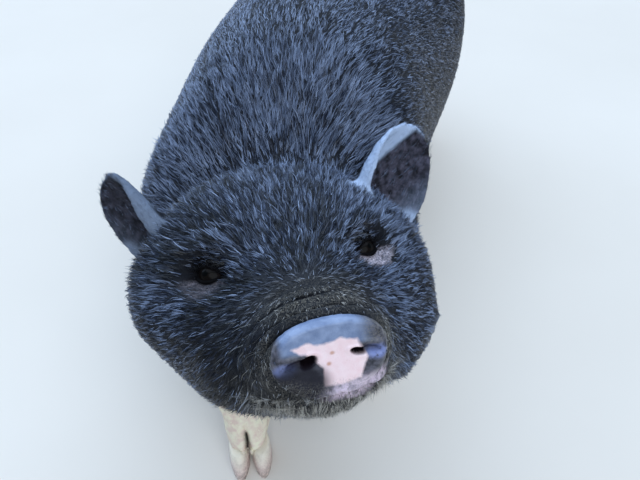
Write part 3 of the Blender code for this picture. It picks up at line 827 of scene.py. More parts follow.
def ear_marks(surface, shares, head):
    """The open insides of the ears, and the painted reflection of the sky on their edges."""
    insides, edges = np.zeros(len(surface.co)), np.zeros(len(surface.co))
    for name in EARS:
        across, reach, out, opening, outward = ear_places(surface.co, name, head)
        outer_side = smoothstep(surface.normals @ (0.75 * opening - 0.66 * outward), -0.1, 0.3)
        rolled = smoothstep(-across, 0.42, 0.62) * smoothstep(out, 0.15, 0.45) * outer_side
        rolled = np.maximum(rolled, smoothstep(-across, 0.80, 0.95) * smoothstep(reach, 0.0, 0.3))
        inside = smoothstep(surface.normals @ opening, -0.15, 0.25) * smoothstep(reach, -0.2, 0.0)
        insides += shares[name] * (inside * (1 - rolled)) * (0.2 + 0.8 * PALE_EARS[name])
        # painted reflection of the sky on the rolled inner edge, the rims, the lobe and the outer half
        rim = smoothstep(reach, 0.93, 1.02) + smoothstep(across, 0.98, 1.12) * smoothstep(-reach, -0.3, 0.05)
        lobe = smoothstep(across, 0.55, 0.85) * smoothstep(-reach, -0.14, 0.0)
        flat = 0.22 * smoothstep(across, 0.1, 0.9)
        edges += shares[name] * (PALE_EARS[name] * np.clip(rolled + rim + lobe + flat, 0, 1))
    return {"ear_inside": insides, "ear_reflection": edges}


def markings(surface, shares, head):
    """{name: share} of each marking, and of the painted light and painted shade, at every vertex of the
    skin.
    """
    points = surface.co
    local = head.local(points)
    marks = {**disc_marks(points, local), **eye_marks(points, head), **ear_marks(surface, shares, head)}
    # the clefts between the toes get the same painted shade
    marks["fold"] = np.maximum(marks["fold"], cleft_mark(points))
    foot_edge = points[:, 2] + 0.005 * ripple(points, 0.008)
    marks["foot"] = shares["leg"] * (1 - smoothstep(foot_edge, 0.074, 0.092))
    marks["chin"] = smoothstep(-local[:, 2], 6.5, 7.8) * smoothstep(local[:, 1], 3.3, 6.6)
    marks["dust"] = dust_mark(local, marks)
    return marks


# ---------------------------------------------------------------- materials

class Nodes:
    """Short forms for building a material's node tree."""

    def __init__(self, name):
        self.material = bpy.data.materials.new(name)
        self.material.use_nodes = True
        self.tree = self.material.node_tree
        self.shader = self.tree.nodes["Principled BSDF"]
        self.place = self.add("ShaderNodeTexCoord").outputs["Object"]

    def add(self, kind, **settings):
        node = self.tree.nodes.new(kind)
        for key, value in settings.items():
            setattr(node, key, value)
        return node

    def join(self, source, socket):
        if hasattr(source, "is_output"):
            self.tree.links.new(source, socket)
        elif isinstance(source, tuple):
            socket.default_value = (*source, 1.0) if len(source) == 3 else source
        else:
            socket.default_value = source

    def mark(self, name):
        return self.add("ShaderNodeAttribute", attribute_name=name).outputs["Fac"]

    def mix(self, share, low, high):
        node = self.add("ShaderNodeMix", data_type="RGBA")
        self.join(share, node.inputs[0])
        self.join(low, node.inputs[6])
        self.join(high, node.inputs[7])
        return node.outputs[2]

    def math(self, operation, first, second=0.0, clamp=False):
        node = self.add("ShaderNodeMath", operation=operation, use_clamp=clamp)
        self.join(first, node.inputs[0])
        self.join(second, node.inputs[1])
        return node.outputs[0]

    def times(self, first, second):
        return self.math("MULTIPLY", first, second)

    def plus(self, first, second, clamp=False):
        return self.math("ADD", first, second, clamp)

    def layered(self, colour, *layers):
        """A colour under layers, each of them a share and its colour."""
        for share, above in layers:
            colour = self.mix(share, colour, above)
        return colour

    def axes(self):
        split = self.add("ShaderNodeSeparateXYZ")
        self.join(self.place, split.inputs[0])
        return split.outputs

    def scaled(self, stretch):
        node = self.add("ShaderNodeMapping")
        node.inputs["Scale"].default_value = stretch
        self.join(self.place, node.inputs["Vector"])
        return node.outputs["Vector"]

    def noise(self, size, detail=4.0, low=0.35, high=0.65, place=None):
        """Uneven values from 0 to 1 whose blots are about size metres."""
        node = self.add("ShaderNodeTexNoise")
        self.join(place or self.place, node.inputs["Vector"])
        node.inputs["Scale"].default_value = 1.0 / size
        node.inputs["Detail"].default_value = detail
        return self.spread(node.outputs["Fac"], low, high)

    def spread(self, value, low, high, to_low=0.0, to_high=1.0):
        node = self.add("ShaderNodeMapRange")
        self.join(value, node.inputs["Value"])
        for name, number in (("From Min", low), ("From Max", high), ("To Min", to_low), ("To Max", to_high)):
            node.inputs[name].default_value = number
        return node.outputs["Result"]

    def ramp(self, share, at_none, at_full):
        """A value that goes from one number to another as a share goes from 0 to 1."""
        return self.spread(share, 0.0, 1.0, at_none, at_full)

    def cells(self, size):
        node = self.add("ShaderNodeTexVoronoi")
        self.join(self.place, node.inputs["Vector"])
        node.inputs["Scale"].default_value = 1.0 / size
        return node.outputs["Distance"]

    def bump(self, height, strength, distance, below=None):
        node = self.add("ShaderNodeBump")
        node.inputs["Strength"].default_value = strength
        node.inputs["Distance"].default_value = distance
        self.join(height, node.inputs["Height"])
        if below is not None:
            self.join(below, node.inputs["Normal"])
        return node.outputs["Normal"]

    def finish(self, colour, roughness, normal=None, specular=None):
        inputs = {"Base Color": colour, "Roughness": roughness, "Normal": normal,
                  "Specular IOR Level": specular}
        for name, value in inputs.items():
            if value is not None:
                self.join(value, self.shader.inputs[name])
        return self.material


BLACK = (0.0050, 0.0056, 0.0080)
CHARCOAL = (0.013, 0.0145, 0.0200)
# painted reflection of the sky on the top of the disc
DISC_REFLECTION = (0.150, 0.200, 0.325)
PALE_DISC_REFLECTION = (0.25, 0.31, 0.46)
PINK = (0.95, 0.74, 0.74)
ROSE = (0.90, 0.64, 0.64)
FRECKLE = (0.55, 0.27, 0.17)
# painted shade on the disc's lower left
PLUM = (0.015, 0.014, 0.020)
LIP = (0.66, 0.53, 0.63)
LID = (0.66, 0.57, 0.63)
# painted shade in the nostrils and their grooves
NOSTRIL = (0.010, 0.006, 0.009)
EAR_INSIDE = (0.010, 0.009, 0.013)
EAR_PALE = (0.080, 0.076, 0.108)
# painted reflection of the sky on the ears' edges
EAR_REFLECTION = (0.40, 0.49, 0.66)
DUST = (0.22, 0.20, 0.165)
RIM_DARK = (0.026, 0.026, 0.034)
RIM_PALE = (0.115, 0.110, 0.135)
GLEAM = (0.20, 0.24, 0.47)
# painted shade round the eyes
LID_SHADE = (0.004, 0.0035, 0.004)
# painted shade in the folds and the clefts between the toes
FOLD = (0.002, 0.002, 0.003)
CREAM = (0.90, 0.83, 0.64)
TOE_PINK = (0.78, 0.60, 0.50)

# Coat, from the darkest tuft to the palest, and where it isn't black: past the black, the bluish and pale
# tufts are a painted reflection of the sky on black hair and the palest are painted glints
HAIR_BLACK = (0.0016, 0.0021, 0.0040)
HAIR_BLUE = (0.019, 0.027, 0.053)
HAIR_PAINTED_SHINE = (0.200, 0.250, 0.370)
HAIR_PAINTED_GLINT = (0.34, 0.42, 0.60)
HAIR_DUSTY = (0.50, 0.46, 0.38)
HAIR_LID = (0.34, 0.31, 0.36)
# painted reflection of the sky on the ears' edges
EAR_HAIR_REFLECTION = (0.38, 0.46, 0.62)
HAIR_FOOT = (0.80, 0.70, 0.50)
HAIR_FOOT_PALE = (0.98, 0.93, 0.74)
WHISKER_DARK = (0.010, 0.011, 0.015)
WHISKER_PALE = (0.34, 0.33, 0.30)

# the eye's colours are darkened as painted shade under the hooded lids
IRIS_DARK = (0.002, 0.0015, 0.001)
IRIS = (0.008, 0.005, 0.004)
IRIS_RIM = (0.004, 0.003, 0.003)
EYE_WHITE = (0.010, 0.007, 0.007)
PUPIL = (0.001, 0.001, 0.001)

HORN = (0.60, 0.43, 0.38)
HORN_PALE = (0.82, 0.66, 0.58)
HORN_TOP = (0.90, 0.82, 0.65)
HORN_STAIN = (0.42, 0.33, 0.29)
HORN_DIRT = (0.10, 0.075, 0.055)
FLOOR = (0.72, 0.65, 0.57)
FLOOR_PALE = (0.75, 0.68, 0.60)


def skin_material():
    """Dark hide with the pink disc and a painted reflection of the sky on its top and ends, pinkish lids,
    dusty muzzle and pale feet; a painted reflection on the ears' edges and painted shade in the folds, the
    nostrils, round the eyes and on the disc's lower left.
    """
    paint = Nodes("skin")
    disc, fold, plum = paint.mark("disc"), paint.mark("fold"), paint.mark("plum")
    freckles = paint.spread(paint.cells(0.0036), 0.10, 0.22, 1.0, 0.0)
    freckles = paint.times(freckles, paint.noise(0.009, 1.0, 0.56, 0.62))
    pink = paint.layered(
        paint.mix(paint.noise(0.0045, 5.0, 0.3, 0.7), ROSE, PINK),
        (paint.times(freckles, 0.6), FRECKLE),
        (paint.times(paint.mark("spots"), 0.8), FRECKLE),
    )
    pink_edge = paint.plus(paint.mark("pink"), paint.ramp(paint.noise(0.0024, 5.0, 0.2, 0.8), -0.13, 0.13))
    dusty = paint.times(paint.mark("dust"), paint.noise(0.0009, 3.0, 0.44, 0.70))
    lid = paint.times(paint.mark("lid"), paint.noise(0.0022, 3.0, 0.1, 0.5))
    colour = paint.layered(
        paint.mix(paint.noise(0.02), BLACK, CHARCOAL),
        (paint.mark("ear_inside"), paint.mix(paint.noise(0.006), EAR_INSIDE, EAR_PALE)),
        # painted reflection of the sky on the ears' edges
        (paint.mark("ear_reflection"), EAR_REFLECTION),
        (lid, paint.mix(paint.noise(0.0013, 3.0), RIM_PALE, LID)),
        # painted shade round the eyes
        (paint.mark("lid_shade"), LID_SHADE),
        (paint.mark("foot"), paint.mix(paint.noise(0.008), TOE_PINK, CREAM)),
        (disc, paint.mix(paint.noise(0.003), RIM_DARK, RIM_PALE)),
        # painted reflection of the sky on the top of the disc
        (paint.mark("disc_reflection"), paint.mix(paint.noise(0.007), DISC_REFLECTION, PALE_DISC_REFLECTION)),
        (paint.times(paint.mark("gleam"), paint.noise(0.003, 3.0, 0.25, 0.5)), GLEAM),
        (paint.mark("lip"), paint.mix(paint.noise(0.004, 4.0, 0.45, 0.75), LIP, RIM_PALE)),
        (paint.spread(pink_edge, 0.26, 0.74), pink),
        # painted shade on the disc's lower left
        (paint.times(plum, 0.95), PLUM),
        (paint.times(dusty, 0.7), DUST),
        # painted shade in the folds and the clefts between the toes
        (fold, FOLD),
        # painted shade in the nostrils and their grooves
        (paint.mark("nostril"), NOSTRIL),
    )
    rough = paint.ramp(disc, 1.0, 0.22)
    fine = paint.bump(paint.times(paint.noise(0.0011, 3.0, 0.3, 0.7), rough), 0.35, 0.0005)
    folds = paint.bump(paint.times(paint.noise(0.006, 5.0, 0.3, 0.7), rough), 0.5, 0.0012, fine)
    pores = paint.bump(paint.times(paint.spread(paint.cells(0.0012), 0.05, 0.45), disc), 0.30, 0.0002, folds)
    hollow = paint.plus(fold, paint.plus(paint.mark("lid_shade"), paint.times(plum, 0.7)))
    hollow = paint.plus(paint.mark("nostril"), hollow, clamp=True)
    shine = paint.times(paint.ramp(disc, 0.14, 0.40), paint.ramp(hollow, 1.0, 0.12))
    roughness = paint.plus(paint.ramp(disc, 0.62, 0.33), paint.times(plum, 0.3))
    return paint.finish(colour, roughness, pores, shine)


def coat_material():
    """Black bristles with a cold shine painted on, the palest tufts painted glints, cream on the feet and
    dusty on the muzzle; the ears' edges get a painted reflection of the sky.
    """
    paint = Nodes("coat")
    shade = paint.mark("shade")
    dusty = paint.times(paint.mark("dust"), paint.spread(shade, 0.1, 0.6))
    colour = paint.layered(
        HAIR_BLACK,
        # the bluish and pale tufts are a painted reflection of the sky on black hair, the palest painted
        # glints
        (paint.spread(shade, 0.16, 0.58), HAIR_BLUE),
        (paint.spread(shade, 0.50, 0.86), HAIR_PAINTED_SHINE),
        (paint.spread(shade, 0.88, 1.0), HAIR_PAINTED_GLINT),
        (paint.times(dusty, 0.85), HAIR_DUSTY),
        (paint.times(paint.mark("lid"), 0.7), HAIR_LID),
        # painted reflection of the sky on the ears' edges
        (paint.times(paint.mark("ear_reflection"), paint.spread(shade, 0.0, 0.5, 0.35, 0.9)), EAR_HAIR_REFLECTION),
        (paint.mark("foot"), paint.mix(shade, HAIR_FOOT, HAIR_FOOT_PALE)),
    )
    return paint.finish(colour, 0.34, specular=0.32)


def whisker_material():
    paint = Nodes("whiskers")
    return paint.finish(paint.mix(paint.mark("shade"), WHISKER_DARK, WHISKER_PALE), 0.4)


def eye_material():
    """A dark brown eye, its colours darkened further as painted shade under the lids: pupil, iris with rays
    and a darker rim, and a brownish white painted near black.
    """
    paint = Nodes("eye")
    x, y, _ = paint.axes()
    square = paint.times(x, x)
    narrow = paint.times(y, 1.35)
    radius = paint.math("SQRT", paint.plus(square, paint.times(y, y)))
    pupil = paint.math("SQRT", paint.plus(square, paint.times(narrow, narrow)))
    rays = paint.add("ShaderNodeTexNoise", noise_dimensions="1D")
    paint.join(paint.times(paint.math("ARCTAN2", y, x), 9.0), rays.inputs["W"])
    colour = paint.layered(
        paint.mix(rays.outputs["Fac"], IRIS_DARK, IRIS),
        (paint.spread(radius, 0.0056, 0.0068), IRIS_RIM),
        (paint.spread(radius, 0.0076, 0.0088), EYE_WHITE),
        (paint.spread(pupil, 0.0030, 0.0024), PUPIL),
    )
    paint.join(0.06, paint.shader.inputs["Coat Weight"])
    paint.join(0.05, paint.shader.inputs["Coat Roughness"])
    return paint.finish(colour, 0.30, specular=0.03)


def hoof_material():
    """Pale horn, streaked down its length, darker and dirty towards the ground."""
    paint = Nodes("hoof")
    height = paint.axes()[2]
    streaks = paint.noise(0.0011, 3.0, 0.3, 0.7, paint.scaled((1.0, 1.0, 0.12)))
    dirt = paint.times(paint.spread(height, 0.016, 0.001), paint.noise(0.004, 5.0, 0.35, 0.6))
    colour = paint.layered(
        paint.mix(streaks, HORN, HORN_PALE),
        (paint.spread(height, 0.012, 0.028), HORN_TOP),
        (paint.times(paint.noise(0.008, 2.0, 0.5, 0.8), 0.5), HORN_STAIN),
        (paint.times(dirt, 0.75), HORN_DIRT),
    )
    rings = paint.bump(paint.noise(0.0022, 2.0, 0.3, 0.7, paint.scaled((0.25, 0.25, 1.0))), 0.3, 0.0004)
    return paint.finish(colour, paint.ramp(streaks, 0.50, 0.36), paint.bump(streaks, 0.25, 0.0002, rings))


def floor_material():
    paint = Nodes("floor")
    return paint.finish(paint.mix(paint.noise(0.5), FLOOR, FLOOR_PALE), 0.85)


# ---------------------------------------------------------------- coat

COAT = {
    # region: tufts per square centimetre, length and width in millimetres, lift from the skin in degrees
    "trunk": (54.0, 12.0, 0.50, 6.0),
    "neck": (62.0, 12.5, 0.52, 11.0),
    "head": (88.0, 11.5, 0.48, 18.0),
    "snout": (95.0, 7.5, 0.40, 14.0),
    "ear": (80.0, 3.4, 0.26, 13.0),
    "leg": (56.0, 5.0, 0.48, 5.0),
    "tail": (60.0, 14.0, 0.60, 10.0),
}
PATCH = 0.003  # the size of a tuft's patch on the map named OFBake
BROAD_BLUR = 70  # rounds of blurring, for what changes slowly over the body
COARSE_FACES = 6000  # of the copy of the skin that is unwrapped


def laid_flat(vectors, normals):
    """Unit vectors along the skin, from vectors that lean out of it."""
    return unit(vectors - normals * (vectors * normals).sum(axis=1, keepdims=True))


def lie_of_coat(surface, shares, head):
    """Unit vectors along the skin, the way the hair lies at each vertex."""
    co = surface.co
    from_muzzle = unit(co - head.world(np.array((0.0, 5.6, -1.8))))
    outward = np.sign(co[:, 0] - co[:, 0].mean())
    sides = np.abs(surface.normals[:, 0])
    back = unit(np.stack([0.10 * outward, np.full(len(co), 1.0), -0.20 - 0.55 * sides], axis=1))
    down = np.broadcast_to(np.array([0.0, 0.16, -1.0]), co.shape)
    lie = from_muzzle * (shares["head"] + shares["snout"])[:, None]
    lie = lie + unit(0.45 * from_muzzle + back) * shares["neck"][:, None] + back * shares["trunk"][:, None]
    legs = shares["leg"] * smoothstep(-co[:, 2], -0.17, -0.10)
    lie = lie * (1 - legs)[:, None] + down * legs[:, None]
    lie = lie + np.array([0.05, 0.0, -1.0]) * (1.6 * shares["tail"])[:, None]
    for name in EARS:
        lie = lie + head.direction(unit(ear_frame(name)[2])) * (1.5 * shares[name])[:, None]
    return laid_flat(surface.blurred(lie, 6), surface.normals)


def past_lids(points, head):
    """The angle past the margin of an eye's slit round each eye, and a large one elsewhere."""
    closest = np.full(len(points), FAR)
    for name in EYES:
        _, _, margin, ahead = lid_angles(points, name, head)
        close = near(points, middle_of(name), 2.3 * EYE_RADIUS) & (ahead > 0.05)
        closest = np.minimum(closest, np.where(close, margin, FAR))
    return closest


def coat_measures(surface, shares, head, marks):
    """Density, length, width and lift of the tufts at each vertex, in metres and radians."""
    side, _, height = surface.co.T
    upward = surface.normals[:, 2]
    local = head.local(surface.co)
    place = disc_local(local)
    across, out, rise = place.T
    reach = disc_reach(place)

    total = sum(shares[name] for name in COAT)
    rows = np.stack([sum(shares[name] * COAT[name][i] for name in COAT) / total for i in range(4)], axis=1)
    small = np.clip(shares["ear"] + shares["snout"] + shares["tail"], 0, 1)[:, None]
    density, length, width, lift = (rows * small + surface.blurred(rows, BROAD_BLUR) * (1 - small)).T

    on_head = np.clip(shares["head"] + shares["snout"], 0, 1)
    away = np.linalg.norm(local - (0.0, 9.6, -5.0), axis=1)
    cheek = smoothstep(np.abs(local[:, 0]), 5.5, 8.5) * smoothstep(-local[:, 2], -1.0, 3.0)
    grown = (0.50 + 0.50 * smoothstep(away, 4.5, 12.5)) * (1 - 0.25 * cheek)
    length = length * (1 + on_head * (grown - 1))
    width = width * (1 + on_head * 0.5 * (grown - 1))
    lift = lift * (1 - on_head * (0.55 * cheek + 0.3 * (1 - smoothstep(away, 4.5, 9.0))))
    margin = past_lids(surface.co, head)
    length = length * (0.38 + 0.62 * outside(margin, 18, 60))
    width = width * (0.6 + 0.4 * outside(margin, 18, 60))
    density = density * outside(margin, 9, 24)

    lip, lid, inside_ear = (np.clip(marks[name], 0, 1) for name in ("lip", "lid", "ear_inside"))
    fringe = smoothstep(reach, 0.90, 0.99) * smoothstep(np.abs(across - 0.6), 1.2, 2.4) * (rise < 1.2)
    patchy = np.clip(shares["head"] + 0.8 * shares["neck"] + 0.35 * shares["trunk"], 0, 1)
    belly = smoothstep(-upward, 0.45, 0.85) * np.clip(shares["trunk"] + shares["neck"], 0, 1)
    missing = (
        marks["disc"] * (1 - 0.85 * np.maximum(shaggy_side(place), 0.5 * fringe)),
        marks["nostril"],
        0.85 * lip,
        0.5 * lid,
        0.66 * inside_ear,
        0.72 * smoothstep(out, -3.0, -2.3) * smoothstep(rise, -0.2, 0.8) * (reach < 2.2),
        np.clip(1.25 * marks["fold"], 0, 1),
        0.30 * patchy * smoothstep(ripple(surface.co, 0.0035, 1.0), -0.1, 0.5),
        0.55 * belly,
    )
    for share in missing:
        density = density * (1 - share)

    foot = marks["foot"] * smoothstep(-height, -0.050, -0.032)
    crest = bell(side, float(side.mean()), 0.05) * np.clip(shares["neck"], 0, 1)
    switch = shares["tail"] * smoothstep(-height, -0.19, -0.15)
    longer = (1.1 * marks["chin"], -0.45 * foot, 1.3 * inside_ear, -0.3 * belly,
              0.35 * crest * smoothstep(upward, 0.3, 0.8), 1.2 * switch)
    for share in longer:
        length = length * (1 + share)
    lift = lift * (1 - 0.8 * foot)
    above_claws = smoothstep(height, 0.024, 0.028)
    return density * above_claws / CM ** 2, length * MM, width * MM, np.radians(lift)


class Faces:
    """The skin's triangles: where tufts can be rooted, and what they read there."""

    def __init__(self, surface, unwrap):
        self.corners = triangles_of(surface.item.data)
        self.co = surface.co[self.corners]
        self.normals = surface.normals
        cross = np.cross(self.co[:, 1] - self.co[:, 0], self.co[:, 2] - self.co[:, 0])
        self.area = 0.5 * np.linalg.norm(cross, axis=1)
        self.spots = unwrap(self.co.mean(axis=1))

    def at(self, values, face, parts):
        picked = values[self.corners[face]]
        shaped = parts if picked.ndim == 2 else parts[..., None]
        return (picked * shaped).sum(axis=1)

    def roots(self, density, rng, number=None):
        """Faces and barycentric parts of evenly spread roots: number of them, or as many as density says."""
        weight = density[self.corners].mean(axis=1) * self.area
        number = int(weight.sum()) if number is None else number
        steps = (np.arange(number) + rng.random(number)) / number * weight.sum()
        face = np.searchsorted(np.cumsum(weight), steps).clip(0, len(weight) - 1)
        first, second = np.sqrt(rng.random(number)), rng.random(number)
        parts = np.stack([1 - first, first * (1 - second), first * second], axis=1)
        return face, parts


def unwrapped_places(skin):
    """A function from points to places on an unwrap of the skin's own shape, by way of a coarse copy."""
    coarse = link("coarse_skin", skin.data.copy())
    fewer = coarse.modifiers.new("fewer", "DECIMATE")
    fewer.ratio = COARSE_FACES / max(len(skin.data.polygons), 1)
    apply_modifiers(coarse)
    bpy.ops.object.select_all(action="DESELECT")
    coarse.select_set(True)
    bpy.context.view_layer.objects.active = coarse
    bpy.ops.object.mode_set(mode="EDIT")
    bpy.ops.mesh.select_all(action="SELECT")
    bpy.ops.uv.smart_project(angle_limit=1.15, island_margin=0.004, scale_to_bounds=True)
    bpy.ops.object.mode_set(mode="OBJECT")
    mesh = coarse.data
    corners = triangles_of(mesh)
    co = read(mesh.vertices, "co", 3)
    uv = read(mesh.uv_layers.active.uv, "vector", 2)[triangles_of(mesh, "loops")]
    tree = BVHTree.FromPolygons(co.tolist(), corners.tolist())
    bpy.data.objects.remove(coarse)

    def places(points):
        found = [tree.find_nearest(point)[2] for point in points.tolist()]
        a, b, c = co[corners[found]].transpose(1, 0, 2)
        normal = np.cross(b - a, c - a)
        size = np.maximum((normal ** 2).sum(axis=1), 1e-18)
        second = (np.cross(points - a, c - a) * normal).sum(axis=1) / size
        third = (np.cross(b - a, points - a) * normal).sum(axis=1) / size
        parts = np.clip(np.stack([1 - second - third, second, third], axis=1), 0, 1)
        parts = parts / parts.sum(axis=1, keepdims=True)
        return (uv[found] * parts[..., None]).sum(axis=1)

    return places


def turned(vectors, axes, angles):
    """Vectors turned about unit axes they stand square to."""
    return vectors * np.cos(angles)[:, None] + np.cross(axes, vectors) * np.sin(angles)[:, None]


ROOT_DEPTH = 0.4 * MM  # how far under the skin a blade starts
# A blade has five points, and the seven corners of a four-sided face and a triangle: each corner's point,
# and its place on the blade's patch of the map
BLADE_POINTS = 5
BLADE_LOOPS = (0, 1, 2, 3, 3, 2, 4)
BLADE_FACES = (0, 4)  # the corner that each face starts at
BLADE_CORNERS = ((-1, -1), (1, -1), (1, 0), (-1, 0), (-1, 0), (1, 0), (0, 1))


def blades(name, tufts, material, marks):
    """One mesh of thin pointed blades, each of three triangles, from arrays of their measures."""
    number = len(tufts["root"])
    along, normal = tufts["along"], tufts["normal"]
    aside = np.cross(normal, along)
    flat = aside * np.cos(tufts["twist"])[:, None] + normal * np.sin(tufts["twist"])[:, None]
    half = flat * (tufts["width"] / 2)[:, None]
    length, lift = tufts["length"], tufts["lift"]
    first = along * np.cos(lift)[:, None] + normal * np.sin(lift)[:, None]
    bent = lift - tufts["bow"]
    second = turned(along, normal, tufts["sweep"])
    second = second * np.cos(bent)[:, None] + normal * np.sin(bent)[:, None]
    root = tufts["root"] - normal * ROOT_DEPTH
    middle = root + first * (0.5 * length)[:, None]
    tip = middle + second * (0.5 * length)[:, None]
    points = np.stack([root - half, root + half, middle + 0.8 * half, middle - 0.8 * half, tip], axis=1)
    loops = BLADE_POINTS * np.arange(number)[:, None] + np.array(BLADE_LOOPS)
    starts = len(BLADE_LOOPS) * np.arange(number)[:, None] + np.array(BLADE_FACES)
    mesh = bpy.data.meshes.new(name)
    mesh.vertices.add(BLADE_POINTS * number)
    mesh.loops.add(len(BLADE_LOOPS) * number)
    mesh.polygons.add(len(BLADE_FACES) * number)
    mesh.vertices.foreach_set("co", points.astype(np.float32).ravel())
    mesh.loops.foreach_set("vertex_index", loops.astype(np.int32).ravel())
    mesh.polygons.foreach_set("loop_start", starts.astype(np.int32).ravel())
    mesh.update(calc_edges=True)
    corner = np.array(BLADE_CORNERS) * (PATCH / 2)
    spots = np.clip(tufts["spot"], PATCH, 1 - PATCH)[:, None, :] + corner
    mesh.uv_layers.new(name="OFBake").uv.foreach_set("vector", spots.astype(np.float32).ravel())
    for mark in ("shade", *marks):
        layer = mesh.attributes.new(mark, "FLOAT", "POINT")
        layer.data.foreach_set("value", np.repeat(tufts[mark], BLADE_POINTS).astype(np.float32))
    mesh.shade_smooth()
    mesh.materials.append(material)
    return link(name, mesh)


COAT_MARKS = ("dust", "lid", "ear_reflection", "foot")
BODY_PAINTED_LIGHT = {"trunk": 0.35, "neck": 0.35}  # painted reflection of the sky: how much paler these regions' tufts are painted


LOCK_SPACING = 3.1 * MM
LOCK_DRAW = 0.70  # how far a tuft's tip is drawn to that of its lock
GUARD_SHARE = 0.11  # of the tufts that are guard hairs: longer and wider, and painted paler as glints
GLINT_SHARE = 0.02  # of the tufts painted as pale glints
COAT_STRAY = 0.17  # how unevenly the tufts and the whiskers point
WHISKER_STRAY = 0.35
LASH_STRAY = 0.3


def locks_of(root, density, rng):
    """For each tuft, the number of the tuft that leads its lock: the closest of a scattered few."""
    share = 1 / np.maximum(density, 1 / CM ** 2)
    number = max(int(share.sum() / LOCK_SPACING ** 2), 1)
    leaders = rng.choice(len(root), min(number, len(root)), replace=False, p=share / share.sum())
    tree = tree_of(root[leaders])
    return leaders[[tree.find(point)[1] for point in root.tolist()]]


def tuft_rows(faces, picked, fields, rng):
    """The measures of tufts rooted at the picked places: those of a lock lean together and share a shade."""
    face, parts = picked
    root = faces.at(fields["co"], face, parts)
    normal = unit(faces.at(faces.normals, face, parts))
    along = laid_flat(faces.at(fields["lie"], face, parts), normal)
    number = len(face)
    lock = locks_of(root, faces.at(fields["density"], face, parts), rng)
    stray = 0.8 * rng.normal(size=number)[lock] + 0.7 * rng.normal(size=number)
    along = turned(along, normal, 0.18 * ripple(root, 0.014) + fields["stray"] * stray)
    tufts = {key: faces.at(fields[key], face, parts) for key in ("length", "width", "lift", *COAT_MARKS)}
    tufts["length"] = tufts["length"] * rng.uniform(0.7, 1.2, number)
    length = tufts["length"][:, None]
    meeting = root[lock] + along[lock] * length
    drawn = along * length + LOCK_DRAW * (meeting - root - along * length)
    along = laid_flat(drawn, normal)
    tufts["width"] = tufts["width"] * rng.uniform(0.7, 1.2, number)
    tufts["lift"] = tufts["lift"] * rng.uniform(0.3, 1.7, number)[lock] * rng.uniform(0.6, 1.4, number)
    tufts["bow"] = rng.uniform(0.10, 0.42, number)
    tufts["sweep"] = 0.16 * rng.normal(size=number)[lock] + 0.12 * rng.normal(size=number)
    tufts["twist"] = 0.7 * rng.normal(size=number)
    shade = 0.68 * rng.beta(0.9, 1.4, number)[lock] + 0.32 * rng.beta(1.6, 2.4, number)
    uneven = 0.16 * ripple(root, 0.026, 4.0) + 0.17 * ripple(root, 0.007, 5.0)
    # the coat's painted light and shade is added to each tuft's own shade
    shade = np.clip(shade + uneven + faces.at(fields["painted_light"], face, parts), 0, 1)
    # guard hairs are painted paler, as glints
    guard = rng.random(number) < GUARD_SHARE
    shade = np.where(guard, 0.42 + 0.46 * shade, 0.84 * shade)
    tufts["width"] *= np.where(guard, 1.45, 1.0)
    tufts["length"] *= np.where(guard, 1.15, 1.0)
    tufts["lift"] += np.where(guard, math.radians(4), 0.0)
    # tufts set to the pale end: painted glints, and dusty hairs where there is dust
    bright = rng.random(number) < fields["glint_share"] + 0.16 * tufts["dust"]
    tufts["shade"] = np.where(bright, rng.uniform(0.88, 1.0, number), shade)
    tufts.update(root=root, normal=normal, along=along, spot=faces.spots[face])
    return tufts


def coat_pieces(tufts):
    """Splits the tufts into named patches of the coat: the trunk into shoulder, flank and rump on each side,
    the head and the neck into halves, the rest whole. Splits the tufts into named patches of the coat, each
    small enough for the export.
    """
    region, root = tufts["region"], tufts["root"]
    left = root[:, 0] > 0.0
    for index, name in enumerate(COAT):
        here = region == index
        if name == "trunk":
            steps = np.quantile(root[here, 1], (0.0, 0.34, 0.67, 1.0))
            for part, start, end in zip(("shoulder", "flank", "rump"), steps, steps[1:]):
                within = here & (root[:, 1] >= start) & (root[:, 1] <= end)
                yield "coat_%s_left" % part, within & left
                yield "coat_%s_right" % part, within & ~left
        elif name in ("head", "neck"):
            middle = np.median(root[here, 0])
            yield "coat_%s_left" % name, here & (root[:, 0] >= middle)
            yield "coat_%s_right" % name, here & (root[:, 0] < middle)
        else:
            yield "coat_" + name, here


def painted_light_of_coat(surface, shares, head):
    """Painted light and shade on the coat: how much paler than its own shade it is painted at each vertex,
    or darker where this is below 0.
    """
    outward, _, upward = surface.normals.T
    aside, ahead, up = head.local(surface.co).T
    face = np.clip(shares["head"] + shares["snout"], 0, 1)
    low = smoothstep(-up, -1.5, 1.5)
    # painted reflection of the sky on the trunk and neck, strongest where they face up
    painted_light = surface.blurred(sum(by * shares[name] for name, by in BODY_PAINTED_LIGHT.items()), BROAD_BLUR)
    painted_light = painted_light * smoothstep(upward, -0.1, 0.6)
    # painted highlights over the brows
    for side in (1, -1):
        painted_light += 0.22 * blob(surface, head, (side * 4.2, 1.8, 1.3), (2.0, 1.8, 1.2))
    # painted light on the ridges and painted shade in the valleys of the wrinkles round the eyes
    for name in EYES:
        painted_light += 0.36 * brow_folds(surface.co, name, head)
    # a painted highlight on the crown; painted light on the cheek on the pig's left and painted shade on the
    # one on its right, darkest low down, with a painted highlight along the outer edge of that jowl
    painted_light += 0.14 * face * smoothstep(-ahead, -0.5, 2.5) * smoothstep(up, 2.5, 5.0)
    painted_light += face * (0.18 * smoothstep(aside, 3.0, 6.5) - (0.10 + 0.18 * low) * smoothstep(-aside, 2.0, 5.5))
    painted_light += 0.42 * face * smoothstep(-aside, 6.8, 8.4) * low
    # painted light on the trunk where it faces the pig's right, painted shade where it faces its left
    painted_light += 0.10 * shares["trunk"] * smoothstep(-outward, 0.1, 0.6)
    return painted_light - 0.22 * shares["trunk"] * smoothstep(outward, 0.3, 0.8)


